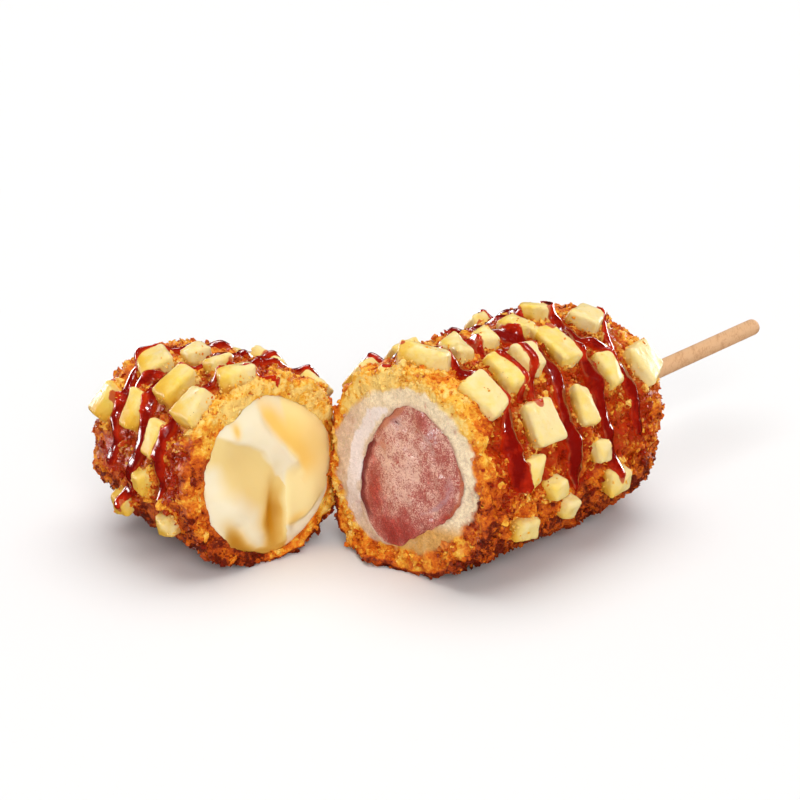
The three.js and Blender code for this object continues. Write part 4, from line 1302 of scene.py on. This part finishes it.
def shape_cubes(half, look, material):
    """The cubes of one half, with softened edges and uneven faces."""
    names = potato_names(half)
    points, faces = joined_cubes(names, look.swell)
    piece = add_object("potatoes_" + half.name, make_mesh("potatoes_" + half.name, points, faces))
    mesh = remesh_evenly(piece, look.voxel, look.rounding)
    after = mesh_points(mesh)
    local = half.unplace(after)
    normals = mesh_normals(mesh)
    wobble = 0.65 * grain(local, 3.1, 4.0) + 0.35 * grain(local, 1.2, 8.0)
    move_points(mesh, after + normals * (wobble * look.wobble)[:, None])
    local = half.unplace(mesh_points(mesh))

    boxes = np.array([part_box(name) for name in names])
    centres = boxes.mean(axis=1)
    cube = np.argmin(np.linalg.norm(mesh_points(mesh)[:, None, :] - centres[None], axis=2), axis=1)
    tall = (boxes[:, 1, 2] - boxes[:, 0, 2])[cube] / 2
    # low: painted shade, rising towards each cube's lower side away from the light; it turns those sides
    # yellow, golden and fried.
    away_from_light = centres[cube] - mesh_points(mesh)
    low = (0.55 * away_from_light[:, 2] + 0.95 * away_from_light[:, 0]) / tall
    along, reach = local[:, 1], np.hypot(local[:, 0], local[:, 2])
    angle = np.degrees(np.arctan2(local[:, 0], local[:, 2]))
    proud = reach - half.skin_radius(np.clip(along, 0, half.length - 0.2))
    strands = sauce_reach(half, half.strands, along, angle)
    set_attribute(mesh, "cube", 0.5 + 0.5 * corner_value(*(np.uint32(cube + 3 * n) for n in range(3))))
    set_attribute(mesh, "sunk", 1 - np.clip(proud / 3.0, 0, 1))
    crumby = smoothstep(1 - proud / 3.2 + 0.5 * grain(local, 1.6, 3.0), 0.25, 0.9)
    crumby = crumby + 0.3 * (grain(local, 2.4, 6.0) > 0.4)
    set_attribute(mesh, "room", np.clip(crumby, 0, 1))
    set_attribute(mesh, "toast", 0.42 + 0.3 * grain(local, 1.3, 2.0))
    set_attribute(mesh, "low", low)
    set_attribute(mesh, "stain", 1 - smoothstep(strands + 0.4 * grain(local, 1.4), -0.5, 0.4))
    finish_mesh(mesh, material)
    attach(piece, "root")
    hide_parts(*names)


# ---------------------------------------------------------------- ketchup


def skin_heights(half, tree, along, reach):
    """Distance from the axis to the outermost surface at places round the food."""
    turn = reach / half.radius
    out = np.stack([np.sin(turn), np.zeros_like(turn), np.cos(turn)], -1)
    start = out * RAY_START
    start[..., 1] = along
    heights = half.skin_radius(np.clip(along, 0, half.length - 1))
    origins = half.place(start)
    inward = -(out @ half.turn.T)
    flat = heights.reshape(-1).copy()
    for n, (origin, direction) in enumerate(zip(origins.reshape(-1, 3), inward.reshape(-1, 3))):
        away = tree.ray_cast(Vector(origin), Vector(direction), RAY_REACH)[3]
        if away is not None:
            flat[n] = RAY_START - away / MM
    return flat.reshape(heights.shape)


def blurred(values, along, across):
    """A small blur of a grid, along its rows and across them."""
    for axis, passes in ((0, along), (1, across)):
        for _ in range(passes):
            pad = [(1, 1) if n == axis else (0, 0) for n in range(2)]
            wide = np.pad(values, pad, mode="edge")
            if axis == 0:
                values = (wide[:-2] + 2 * wide[1:-1] + wide[2:]) / 4
            else:
                values = (wide[:, :-2] + 2 * wide[:, 1:-1] + wide[:, 2:]) / 4
    return values


def strand_form(half, tree, strand, thickness, seed):
    """One strand of ketchup draped over crust and cubes, as a closed form."""
    share, points = strand
    along, reach, width = strand_samples(half, points)
    run = np.arange(len(along)) * STRAND_STEP
    uneven = 1 + 0.16 * noise(run / 3.4, seed, 0.5) + 0.08 * noise(run / 1.3, seed, 7.5)
    to_end = np.minimum(run, run[-1] - run) + 0.15
    tip = np.sqrt(1 - (1 - np.clip(to_end / (0.6 * width), 0, 1)) ** 2)
    width = width * uneven * tip
    step = np.stack([np.gradient(along), np.gradient(reach)], -1)
    step = step / np.linalg.norm(step, axis=1)[:, None]
    across = np.linspace(-1, 1, 11)
    side_along = along[:, None] - step[:, 1:] * across * width[:, None] / 2
    side_reach = reach[:, None] + step[:, :1] * across * width[:, None] / 2
    base = skin_heights(half, tree, side_along, side_reach)
    level = blurred(base, 4, 2)
    swell = 1 + 0.22 * noise(run / 4.4, seed, 3.5)
    dome = (1 - across ** 2) ** 0.42
    height = thickness * share * (swell * tip * np.clip(width / 2.6, 0.5, 1.35) ** 0.6)[:, None] * dome
    top = np.maximum(level + height, base + 0.35 * height) - 0.25 * (1 - dome)
    under = [1, 3, 5, 7, 9]
    low = base[:, under] - 1.2

    def points_at(s, r, radius):
        turn = r / half.radius
        return np.stack([np.sin(turn) * radius, s, np.cos(turn) * radius], -1)

    upper = points_at(side_along, side_reach, top)
    lower = points_at(side_along[:, under], side_reach[:, under], low)[:, ::-1]
    rings = [np.concatenate([upper[n], lower[n]]) for n in range(len(run))]
    first, last = rings[0].mean(axis=0), rings[-1].mean(axis=0)
    return closed_skin(rings, first, last)


def sauce_material(look):
    """Ketchup: deep red and wet, brighter where it is thin."""
    net = ShaderNet("ketchup")
    depth = net.attribute("depth")
    cloud, fine = net.noise(2.4), net.noise(0.6, 2.0)
    level = depth + (cloud - 0.5) * 0.8 + (fine - 0.5) * 0.5
    colour = net.ramp(level, [(0.1, look.thin), (0.85, look.thick)])
    return net.finish({
        "Base Color": colour, "Roughness": look.roughness, "Specular IOR Level": 0.5,
        "Coat Weight": 1.0, "Coat Roughness": 0.04, "Coat IOR": 1.75,
        "Normal": net.bump(cloud * 0.8 + fine * 0.4, 0.5, 0.6)})


def pour_sauce(half, crust, potatoes, look, material):
    """All strands of one half, run together."""
    tree = bvh_of(crust.data, potatoes.data)
    points, faces = [], []
    for n, strand in enumerate(half.strands):
        form, form_faces = strand_form(half, tree, strand, look.thickness / MM, 3.7 * n + 1)
        if signed_volume(form, form_faces) < 0:
            form_faces = [tuple(reversed(face)) for face in form_faces]
        start = sum(len(p) for p in points)
        points.append(form)
        faces.extend(tuple(start + i for i in face) for face in form_faces)
    name = "ketchup_" + half.name
    piece = add_object(name, make_mesh(name, half.place(np.concatenate(points)), faces))
    mesh = remesh_evenly(piece, look.voxel, SAUCE_FLOW)
    depth = nearest_distance(tree, mesh_points(mesh), 3 * MM) / look.thickness
    set_attribute(mesh, "depth", np.clip(depth, 0, 1.3))
    finish_mesh(mesh, material)
    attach(piece, "root")
    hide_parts("coating_" + half.name)


# ---------------------------------------------------------------- fillings and stick


def cheese_lift(x, z):
    """How far the cheese stands out of the cut: broad lumps, and crests with one steep side."""
    lift = np.zeros(np.shape(x))
    for *oval, rise in CHEESE_LUMPS:
        lift += rise * blob(x, z, *oval)
    for path, rise, steep, gentle in CHEESE_CRESTS:
        away, along = distance_to_path(x, z, path)
        fade = smoothstep(along, 0.0, 0.25) * (1 - smoothstep(along, 0.75, 1.0))
        lift += rise * fade * np.where(away < 0, np.exp(-(away / steep) ** 2), np.exp(-(away / gentle) ** 2))
    return lift


def blob(x, z, at_x, at_z, half_width, half_height, turn=0.0):
    """1 in the middle of a soft oval, 0 outside it."""
    c, s = math.cos(math.radians(turn)), math.sin(math.radians(turn))
    across = ((x - at_x) * c - (z - at_z) * s) / half_width
    up = ((x - at_x) * s + (z - at_z) * c) / half_height
    return np.exp(-across ** 2 - up ** 2)


def path_blot(x, z, path, width, strengths):
    """A soft line along a path, whose strength runs through those values from its first end to its last."""
    away, along = distance_to_path(x, z, path)
    strength = np.interp(along, np.linspace(0, 1, len(strengths)), strengths)
    return strength * np.exp(-(away / width) ** 2)


def cheese_masks(points):
    """How warm, creamy or oily the cheese is at each point, each from 0 to 1; cream and oil also carry
    painted shade in the hollows, the folds and along the lower and left edges.
    """
    x = points[:, 0] + 0.5 * grain(points, 4.0)
    z = points[:, 2] + 0.5 * grain(points, 4.0, 5.0)
    turn = np.degrees(np.arctan2(x, z))
    reach = np.hypot(x, z) / (CHEESE["radius"] * outline_share(CHEESE, 0.0, turn))
    right_of_ridge, along = distance_to_path(x, z, RIDGE)
    right_of_ridge = -right_of_ridge
    lobe = smoothstep(right_of_ridge, 0.5, 2.8) * (0.45 + 0.55 * np.exp(-((right_of_ridge - 2.8) / 3.6) ** 2))
    lobe = lobe * (1 - 0.65 * smoothstep(reach, 0.7, 1.0)) * smoothstep(z, -7.0, 1.0)
    above_crease, _ = distance_to_path(x, z, CREASE)
    yellow = np.maximum(smoothstep(right_of_ridge, 0.2, 2.0), smoothstep(2 - z, 0, 4))
    yellow = yellow * smoothstep(x, 4.4, 5.6) * smoothstep(-above_crease, -0.2, 0.5)
    golden_spot = 0.8 * blob(x, z, 8.4, -14.3, 3.0, 1.3, -10) * smoothstep(-above_crease, -0.2, 0.4)
    warm = np.maximum.reduce([lobe, golden_spot, 0.9 * blob(x, z, -9.4, 13.6, 1.2, 2.2)])
    under_brow, _ = distance_to_path(x, z, BROW)
    over_band, _ = distance_to_path(x, z, PALE_BAND)
    # cream: the hollow under the brow, painted there as shade.
    cream = smoothstep(-under_brow, 0.1, 1.5) * smoothstep(over_band, 0.0, 6.0) * (x < 5.2)
    # Amber where oil gathers in the folds and hollows, deepened there as painted shade; the thin bands along
    # the lower and left edges are painted shade.
    oil = path_blot(x, z, FOLD, 3.7, (0.15, 0.6, 1.0, 1.1, 0.85, 0.75)) * (1 - smoothstep(x, 4.0, 5.0))
    oil = np.maximum.reduce([
        oil, path_blot(x, z, LOW_HOLLOW, 2.6, (0.1, 0.6, 1.0, 0.95, 0.75)),
        0.75 * smoothstep(-z, 18.2, 20.6) * smoothstep(x, -11, -8) * (1 - smoothstep(x, 4, 7)),
        0.45 * blob(x, z, -9.4, 13.6, 0.8, 1.7), 0.25 * blob(x, z, 8.4, -14.5, 2.4, 0.9, -10),
        0.6 * smoothstep(-x, 18.4, 19.3) * smoothstep(-z, -2, 1) * (1 - smoothstep(-z, 8, 11))])
    return {"warm": warm, "yellow": yellow, "cream": cream, "oil": oil}


def cheese_material(look):
    """Melted cheese: ivory on the crests, cream and warm yellow in the lobes, oily amber in the folds; the
    cream and amber are partly painted shade.
    """
    net = ShaderNet("melted cheese")
    warm, yellow, cream, oil = (net.attribute(name) for name in ("warm", "yellow", "cream", "oil"))
    cloud, fine = net.noise(6.0, 1.0), net.noise(1.0, 2.0)
    colour = net.mix(look.ivory, look.cream, (cream + (cloud - 0.5) * 0.3).clamp())
    colour = net.mix(colour, look.pale, yellow)
    colour = net.mix(colour, look.warm, (warm + (cloud - 0.5) * 0.2).clamp())
    # Tan and amber: oil, and painted shade in folds, hollows and along the edges.
    colour = net.mix(colour, look.tan, net.step(oil, 0.0, 0.8) * 0.95)
    colour = net.mix(colour, look.oil, net.step(oil, 0.38, 1.05))
    return net.finish({
        "Base Color": colour, "Roughness": 0.36 + 0.2 * (cloud - 0.5), "Specular IOR Level": 0.4,
        "Coat Weight": 0.2, "Coat Roughness": 0.12, "Subsurface Weight": 0.15,
        "Subsurface Radius": (1.0, 0.75, 0.35), "Subsurface Scale": 0.001,
        "Normal": net.bump(fine, 0.06, 0.2)})


def fill_cheese(material):
    """The melted cheese of the tip half, with the folds of its cut face."""
    angle = np.linspace(0, 360, 256, endpoint=False)
    rings = []
    shares = np.concatenate([np.linspace(0.03, 0.94, 44), [0.955, 0.968, 0.98, 0.99, 0.997]])
    for share in shares:
        points = cheese_ring(0.0, angle, share)
        edge = 0.98 * share ** 6 + 0.35 * (1 - math.sqrt(1 - share ** 12))
        points[:, 1] = -0.9 + edge - cheese_lift(points[:, 0], points[:, 2]) * (1 - share ** 14)
        rings.append(points)
    for along in (0.9, 1.6, 3.0, 5.0, 11.0, 20.0, 30.0, 36.0, 40.5, 42.6, 43.7):
        rings.append(cheese_ring(along, angle))
    middle_lift = float(cheese_lift(np.array(0.0), np.array(-CHEESE["drop"])))
    first = np.array([0, -0.9 - middle_lift, -CHEESE["drop"]])
    last = np.array([0, CHEESE["length"], -CHEESE["drop"]])
    points, faces = closed_skin(rings, first, last)
    name = "melted_cheese"
    mesh = make_mesh(name, CHEESE_HALF.place(points), faces, cheese_masks(points))
    piece = add_object(name, mesh)
    finish_mesh(mesh, material)
    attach(piece, "root")
    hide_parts("cheese")


def sausage_material(look):
    """Sausage: finely mottled pink with red and orange patches, a cool pale sheen painted on its ridges, dark
    at its skin and, as painted shade, along its left edge.
    """
    net = ShaderNet("sausage meat")
    skin, cured, orange, lilac, pale = (
        net.attribute(name) for name in ("skin", "cured", "orange", "lilac", "pale"))
    cloud, patch = net.noise(5.0), net.noise(1.8, 3.0)
    fine, dust = net.noise(0.7, 3.0, 0.7), net.noise(0.3, 2.0)
    grains = fine * 0.4 + dust * 0.6 + (patch - 0.5) * 0.28 + (cloud - 0.5) * 0.3 + pale * 0.07 - cured * 0.06
    colour = net.mix(look.meat, look.fat, net.step(grains, 0.40, 0.63))
    mottle = (patch - 0.5) * 1.3 + (fine - 0.5) * 0.7 + (dust - 0.5) * 0.4
    # Painted highlight: a cool pale sheen on the ridges.
    colour = net.mix(colour, look.lilac, net.step(lilac + mottle, 0.25, 0.9) * 0.7)
    colour = net.mix(colour, look.orange, net.step(orange + mottle, 0.25, 0.9) * 0.75)
    red = net.shade(look.cured, 1.0 + 3.0 * (grains - 0.5))
    colour = net.mix(colour, red, net.step(cured + mottle, 0.25, 0.95) * 0.85)
    # Dark skin, and painted shade along the left edge.
    casing_and_shade = net.step(skin + (patch - 0.5) * 0.5 + (fine - 0.5) * 0.3, 0.3, 0.95)
    colour = net.mix(colour, look.casing, casing_and_shade)
    return net.finish({
        "Base Color": colour, "Roughness": 0.38 + 0.35 * (fine - 0.5), "Specular IOR Level": 0.5,
        "Coat Weight": 0.55, "Coat Roughness": 0.08, "Subsurface Weight": 0.1,
        "Subsurface Radius": (1.0, 0.35, 0.2), "Subsurface Scale": 0.0006,
        "Normal": net.bump(fine * 0.9 + dust * 0.7, 1.0, 0.5)})


def sausage_masks(points):
    """Where the sausage is dark skinned (with painted shade along its left edge), red, orange, sheened with
    painted light on its ridges, or pale, each from 0 to 1.
    """
    x, z, share = sausage_share(points)
    depth = (1 - share) * SAUSAGE["across"]
    # left: along the left edge the dark band is wider, partly the skin and partly painted shade.
    left = smoothstep(-x, 7.0, 12.0) * smoothstep(z, -18, -11) * (1 - smoothstep(z, 6, 9))
    edge = 1 - smoothstep(depth, 0.2, 1.0)
    behind_cut = 1.0 * (points[:, 1] > 0.75)
    skin = np.maximum.reduce([left * (1 - smoothstep(depth, 0.6, 3.4)), 0.25 * edge, behind_cut])
    cured = np.maximum.reduce([
        1.0 * blob(x, z, -6.0, -16.5, 3.4, 4.5), 0.9 * blob(x, z, -5.0, -14.5, 9.5, 5.0),
        0.85 * blob(x, z, -12.5, -6.0, 4.0, 9.0), 0.5 * blob(x, z, 6.5, -8.5, 5.0, 3.0, 25),
        0.6 * blob(x, z, -2.5, -9.5, 2.0, 3.0), 0.65 * blob(x, z, 2.8, 16.5, 2.4, 3.6),
        0.45 * blob(x, z, 5.5, 3.0, 1.6, 4.5), 0.45 * blob(x, z, 3.0, -3.0, 3.0, 2.0),
        0.42 * blob(x, z, 10.5, -1.0, 4.5, 12.0),
        path_blot(x, z, [(4.5, -9.5), (9.0, -8.0), (12.5, -5.0), (13.5, -1.0)], 1.5, (0.4, 0.7, 0.7, 0.4)),
        0.5 * left * (1 - smoothstep(depth, 2.0, 5.0))])
    right = smoothstep(x, 8.0, 13.0) * smoothstep(z, -13, -8) * (1 - smoothstep(z, 6, 12))
    orange = np.maximum.reduce([
        right * (1 - smoothstep(depth, 0.8, 2.6)),
        path_blot(x, z, [(-13.5, 7.0), (-11.0, 11.5), (-7.5, 14.8), (-4.0, 17.8)], 1.5, (0.5, 0.9, 1.0, 0.9)),
        0.6 * blob(x, z, -9.5, 7.0, 2.0, 2.6), 0.5 * smoothstep(-z, 9.0, 12.0) * smoothstep(x, 2, 6)])
    # A cool pale sheen painted on top of the cut's ridges, as a highlight.
    lilac = np.maximum.reduce([
        0.9 * blob(x, z, -6.0, 14.5, 3.0, 2.2), 0.6 * blob(x, z, 5.5, 12.5, 3.5, 4.5),
        0.55 * blob(x, z, 12.0, 2.0, 2.6, 4.0),
        path_blot(x, z, [(3.5, -7.5), (8.0, -5.0), (11.5, -1.5), (13.0, 3.0)], 0.8, (0.5, 0.9, 0.9, 0.5))])
    pale = 1.0 * blob(x, z, -4.5, 3.0, 9.0, 9.0)
    return {"skin": skin, "cured": cured, "orange": orange, "lilac": lilac, "pale": pale}


# Creases that the knife left in the sausage's cut face, as (x, z) from its middle.
UPPER_RIDGE = [(-6.5, 13.6), (-3.0, 13.0), (1.5, 13.5), (5.0, 11.0)]
UPPER_CREASE = [(-11.0, 11.0), (-7.5, 14.8), (-4.0, 17.0)]
LOWER_RIDGE = [(4.0, -8.8), (9.0, -6.6), (12.5, -3.0), (13.8, 2.0)]


def fill_sausage(material):
    """The sausage, with its cut face and the blind hole of the stick at its far end."""
    angle = np.linspace(0, 360, 256, endpoint=False)
    rings = []
    for share in np.concatenate([np.linspace(0.03, 0.95, 42), [0.968, 0.984, 0.996]]):
        points = sausage_ring(0.0, angle, share)
        points[:, 1] = -0.5 + 0.9 * share ** 2 + 0.35 * noise(points[:, 0] / 5, 2, points[:, 2] / 5)
        fade = 1 - share ** 16
        x, z = points[:, 0] - FILLING_START[0], points[:, 2] - FILLING_START[1]
        creases = (
            0.8 * path_blot(x, z, UPPER_RIDGE, 0.8, (1.0, 0.6, 0.5, 0.2))
            - 0.6 * path_blot(x, z, UPPER_CREASE, 1.3, (0.6, 1.0, 0.6))
            + 0.6 * path_blot(x, z, LOWER_RIDGE, 0.8, (0.5, 1.0, 1.0, 0.5)))
        points[:, 1] += fade * (0.22 * grain(points, 1.9, 2.0) + 0.14 * grain(points, 0.95, 6.0) + creases)
        rings.append(points)
    for along in (0.9, 1.8, 6.0, 20.0, 40.0, 53.0, 58.5, 63.0, 65.5):
        rings.append(sausage_ring(along, angle))
    tunnel = STICK["radius"] + GAP
    inner = SAUSAGE_HALF.length - STICK["inside"] - GAP
    reach = SAUSAGE["length"]
    for along in (reach - 0.35, reach - 3, inner + 15, inner + 0.4):
        rings.append(filling_place(ring(tunnel, along, angle)))
    first = filling_place((0, 0, 0))
    first[1] = -0.5
    points, faces = closed_skin(rings, first, filling_place((0, inner, 0)))
    name = "sausage_core"
    mesh = make_mesh(name, SAUSAGE_HALF.place(points), faces, sausage_masks(points))
    piece = add_object(name, mesh)
    finish_mesh(mesh, material)
    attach(piece, "root")
    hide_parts("sausage")


def stick_material(look):
    """Birch: fine streaks along the stick, darker on its rounded end."""
    net = ShaderNet("birch")
    end = net.attribute("end")
    along = net.node("ShaderNodeMapping", {}, {
        "Vector": net.where, "Rotation": (0, 0, math.radians(-SAUSAGE_YAW)), "Scale": (1.0, 0.03, 1.0)})
    streak = net.noise(0.5, 4.0, 0.65, along)
    broad = net.noise(1.6, 2.0, 0.5, along)
    colour = net.mix(look.wood, look.vein, net.step(streak + (broad - 0.5) * 0.8, 0.44, 0.75) * 0.7)
    colour = net.mix(colour, look.end_grain, end)
    return net.finish({
        "Base Color": colour, "Roughness": 0.52 + 0.3 * (streak - 0.5), "Specular IOR Level": 0.35,
        "Normal": net.bump(streak, 0.3, 0.15)})


def turn_stick(material):
    """The stick, a dowel that is not quite round, with a soft rounded end."""
    angle = np.linspace(0, 360, 56, endpoint=False)
    inner = SAUSAGE_HALF.length - STICK["inside"]
    outer = SAUSAGE_HALF.length + STICK["bare"]
    radius, tip = STICK["radius"], STICK["tip"]
    turns = np.linspace(0.12, 1.0, 8) * math.pi / 2
    inset = [(tip * (1 - math.sin(turn)), tip * (1 - math.cos(turn))) for turn in turns]
    rows = [(radius - cut, inner + back) for cut, back in inset]
    rows += [(radius, along) for along in np.linspace(inner + tip + 1, outer - tip - 1, 60)]
    rows += [(radius - cut, outer - back) for cut, back in reversed(inset)]
    rings, end = [], []
    for reach, along in rows:
        turn = np.radians(angle)
        uneven = 1 + 0.012 * noise(np.cos(turn) * 1.5, along / 14, np.sin(turn) * 1.5) - 0.012
        rings.append(filling_place(ring(reach * uneven, along, angle)))
        end.append(np.full(len(angle), smoothstep(along, outer - 1.5, outer - 0.5)))
    points, faces = closed_skin(rings, filling_place((0, inner, 0)), filling_place((0, outer, 0)))
    name = "birch_stick"
    mesh = make_mesh(name, SAUSAGE_HALF.place(points), faces, {"end": np.concatenate(end + [[0, 1]])})
    piece = add_object(name, mesh)
    finish_mesh(mesh, material)
    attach(piece, "root")
    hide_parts("stick")


# ---------------------------------------------------------------- stage

FLOOR_SIZE = 20.0  # in metres
FLOOR_DROP = 0.00005  # in metres, so that the food's flat underside doesn't flicker against the floor
MIDDLE = (0, 0, 0.03)  # what every light is aimed at


def aim(thing, target):
    thing.rotation_mode = "QUATERNION"
    thing.rotation_quaternion = (Vector(target) - thing.location).to_track_quat("-Z", "Y")


def add_light(name, kind, place, target, strength, **settings):
    data = bpy.data.lights.new(name, kind)
    data.energy = strength
    for key, value in settings.items():
        setattr(data, key, value)
    light = bpy.data.objects.new(name, data)
    light.location = place
    bpy.context.scene.collection.objects.link(light)
    aim(light, target)
    return light


def set_stage(look):
    """Camera, pale floor and soft light."""
    scene = bpy.context.scene
    scene.view_settings.view_transform = "Standard"
    data = bpy.data.cameras.new("camera")
    data.sensor_width = 36.0
    data.lens = look.lens
    data.clip_start, data.clip_end = 0.01, 50.0
    camera = bpy.data.objects.new("camera", data)
    camera.location = look.camera_place
    camera.rotation_euler = (math.pi / 2 - look.camera_tilt, 0, 0)
    scene.collection.objects.link(camera)
    scene.camera = camera

    world = bpy.data.worlds.new("studio")
    world.use_nodes = True
    world.node_tree.nodes.clear()
    world.cycles_visibility.glossy = False
    sky = Net(world.node_tree)
    way = sky.node("ShaderNodeTexCoord", output="Generated")
    height = sky.node("ShaderNodeSeparateXYZ", {}, {0: way}, "Z")
    strength = look.horizon + sky.step(height, 0.05, 0.4) * (look.zenith - look.horizon)
    background = sky.node("ShaderNodeBackground", {}, {"Color": (1, 1, 1, 1), "Strength": strength})
    sky.node("ShaderNodeOutputWorld", {}, {"Surface": background})
    scene.world = world

    reach = FLOOR_SIZE / 2
    corners = np.array([(-reach, -reach, 0), (reach, -reach, 0), (reach, reach, 0), (-reach, reach, 0)])
    mesh = bpy.data.meshes.new("floor")
    mesh.from_pydata(corners.tolist(), [], [(0, 1, 2, 3)])
    net = ShaderNet("pale floor")
    mesh.materials.append(net.finish({
        "Base Color": (*look.floor, 1), "Roughness": 0.9, "Specular IOR Level": 0.0}))
    floor = add_object("floor", mesh)
    floor.location.z = -FLOOR_DROP
    floor.visible_glossy = False

    soft = [add_light("light_above", "SUN", (0.05, 0.12, 1.0), MIDDLE, look.above, angle=math.radians(60)),
            add_light("light_front", "SUN", (0.15, -0.95, 0.62), MIDDLE, look.front, angle=math.radians(30))]
    for light in soft:
        light.visible_glossy = False
    wet = [add_light("edge_light_" + name, "AREA", (side, 0.46, 0.08), MIDDLE, look.edge, shape="RECTANGLE",
                     size=0.45, size_y=0.14) for name, side in (("right", 0.39), ("left", -0.39))]
    wet.append(add_light("sheen_light", "AREA", (0.0, 0.5, 0.5), MIDDLE, look.sheen, shape="RECTANGLE",
                         size=0.3, size_y=0.1))
    wet.append(add_light("cut_light", "AREA", (-0.45, -0.06, 0.09), MIDDLE, look.cut, shape="RECTANGLE",
                         size=0.25, size_y=0.14))
    wet.append(add_light("glint_light", "AREA", (-0.18, -0.35, 0.62), MIDDLE, look.glint, shape="DISK",
                         size=0.07))
    for light in wet:
        light.visible_diffuse = False


# ---------------------------------------------------------------- operators

MATERIALS = {
    "fried crust": ("crust", crust_material),
    "fried potato": ("potato", potato_material),
    "ketchup": ("sauce", sauce_material),
    "sausage meat": ("filling", sausage_material),
    "melted cheese": ("filling", cheese_material),
    "birch": ("stick", stick_material),
}


def material_called(name, settings):
    """The material of that name, made on first use."""
    if name not in bpy.data.materials:
        group, make = MATERIALS[name]
        make(getattr(settings, group))
    return bpy.data.materials[name]


class ShapePotatoes(bpy.types.Operator):
    """Round and roughen the potato cubes of both halves"""

    bl_idname = "corn_dog.shape_potatoes"
    bl_label = "Shape potato cubes"

    def execute(self, context):
        settings = context.scene.corn_dog
        for half in (SAUSAGE_HALF, CHEESE_HALF):
            shape_cubes(half, settings.potato, material_called("fried potato", settings))
        return {"FINISHED"}


class FryCrust(bpy.types.Operator):
    """Make the fried coating of both halves"""

    bl_idname = "corn_dog.fry_crust"
    bl_label = "Fry crust"

    def execute(self, context):
        settings = context.scene.corn_dog
        for half in (SAUSAGE_HALF, CHEESE_HALF):
            cubes = bvh_of(bpy.data.objects["potatoes_" + half.name].data)
            fry_crust(half, settings.crust, cubes, material_called("fried crust", settings))
        return {"FINISHED"}


class PourSauce(bpy.types.Operator):
    """Drape strands of ketchup over crust and cubes"""

    bl_idname = "corn_dog.pour_sauce"
    bl_label = "Pour ketchup"

    def execute(self, context):
        settings = context.scene.corn_dog
        for half in (SAUSAGE_HALF, CHEESE_HALF):
            crust, cubes = (bpy.data.objects[kind + half.name] for kind in ("crust_", "potatoes_"))
            pour_sauce(half, crust, cubes, settings.sauce, material_called("ketchup", settings))
        return {"FINISHED"}


class ScatterCrumbs(bpy.types.Operator):
    """Scatter crumbs and flakes over the crust"""

    bl_idname = "corn_dog.scatter_crumbs"
    bl_label = "Scatter crumbs"

    def execute(self, context):
        settings = context.scene.corn_dog
        for half in (SAUSAGE_HALF, CHEESE_HALF):
            crust, cubes = (bpy.data.objects[kind + half.name] for kind in ("crust_", "potatoes_"))
            material = material_called("fried crust", settings)
            scatter_crumbs(half, crust, cubes, settings.crust, settings.potato, material)
        return {"FINISHED"}


class FillHalves(bpy.types.Operator):
    """Put the sausage in one half and melted cheese in the other"""

    bl_idname = "corn_dog.fill_halves"
    bl_label = "Fill halves"

    def execute(self, context):
        settings = context.scene.corn_dog
        fill_sausage(material_called("sausage meat", settings))
        fill_cheese(material_called("melted cheese", settings))
        return {"FINISHED"}


class TurnStick(bpy.types.Operator):
    """Turn the wooden stick"""

    bl_idname = "corn_dog.turn_stick"
    bl_label = "Turn stick"

    def execute(self, context):
        settings = context.scene.corn_dog
        turn_stick(material_called("birch", settings))
        return {"FINISHED"}


class SetStage(bpy.types.Operator):
    """Set the camera, the floor and the light"""

    bl_idname = "corn_dog.set_stage"
    bl_label = "Set stage"

    def execute(self, context):
        set_stage(context.scene.corn_dog.stage)
        return {"FINISHED"}


STEPS = (SetStage, ShapePotatoes, FryCrust, PourSauce, ScatterCrumbs, FillHalves, TurnStick)


class CornDogPanel(bpy.types.Panel):
    """Lists the steps that make the corn dog"""

    bl_idname = "VIEW3D_PT_corn_dog"
    bl_label = "Corn dog"
    bl_space_type = "VIEW_3D"
    bl_region_type = "UI"
    bl_category = "Corn dog"

    def draw(self, context):
        settings = context.scene.corn_dog
        for step in STEPS:
            self.layout.operator(step.bl_idname)
        for name in ("crust", "potato", "sauce", "filling", "stick", "stage"):
            group = getattr(settings, name)
            box = self.layout.box()
            box.label(text=name.capitalize())
            for key in group.bl_rna.properties.keys():
                if key not in ("rna_type", "name"):
                    box.prop(group, key)


CLASSES = (CrustSettings, PotatoSettings, SauceSettings, FillingSettings, StickSettings, StageSettings,
           CornDogSettings, *STEPS, CornDogPanel)


def register():
    for cls in CLASSES:
        bpy.utils.register_class(cls)
    bpy.types.Scene.corn_dog = bpy.props.PointerProperty(type=CornDogSettings)


def unregister():
    del bpy.types.Scene.corn_dog
    for cls in reversed(CLASSES):
        bpy.utils.unregister_class(cls)


def main():
    register()
    bpy.ops.corn_dog.set_stage()
    bpy.ops.corn_dog.shape_potatoes()
    bpy.ops.corn_dog.fry_crust()
    bpy.ops.corn_dog.pour_sauce()
    bpy.ops.corn_dog.scatter_crumbs()
    bpy.ops.corn_dog.fill_halves()
    bpy.ops.corn_dog.turn_stick()


if __name__ == "__main__":
    main()
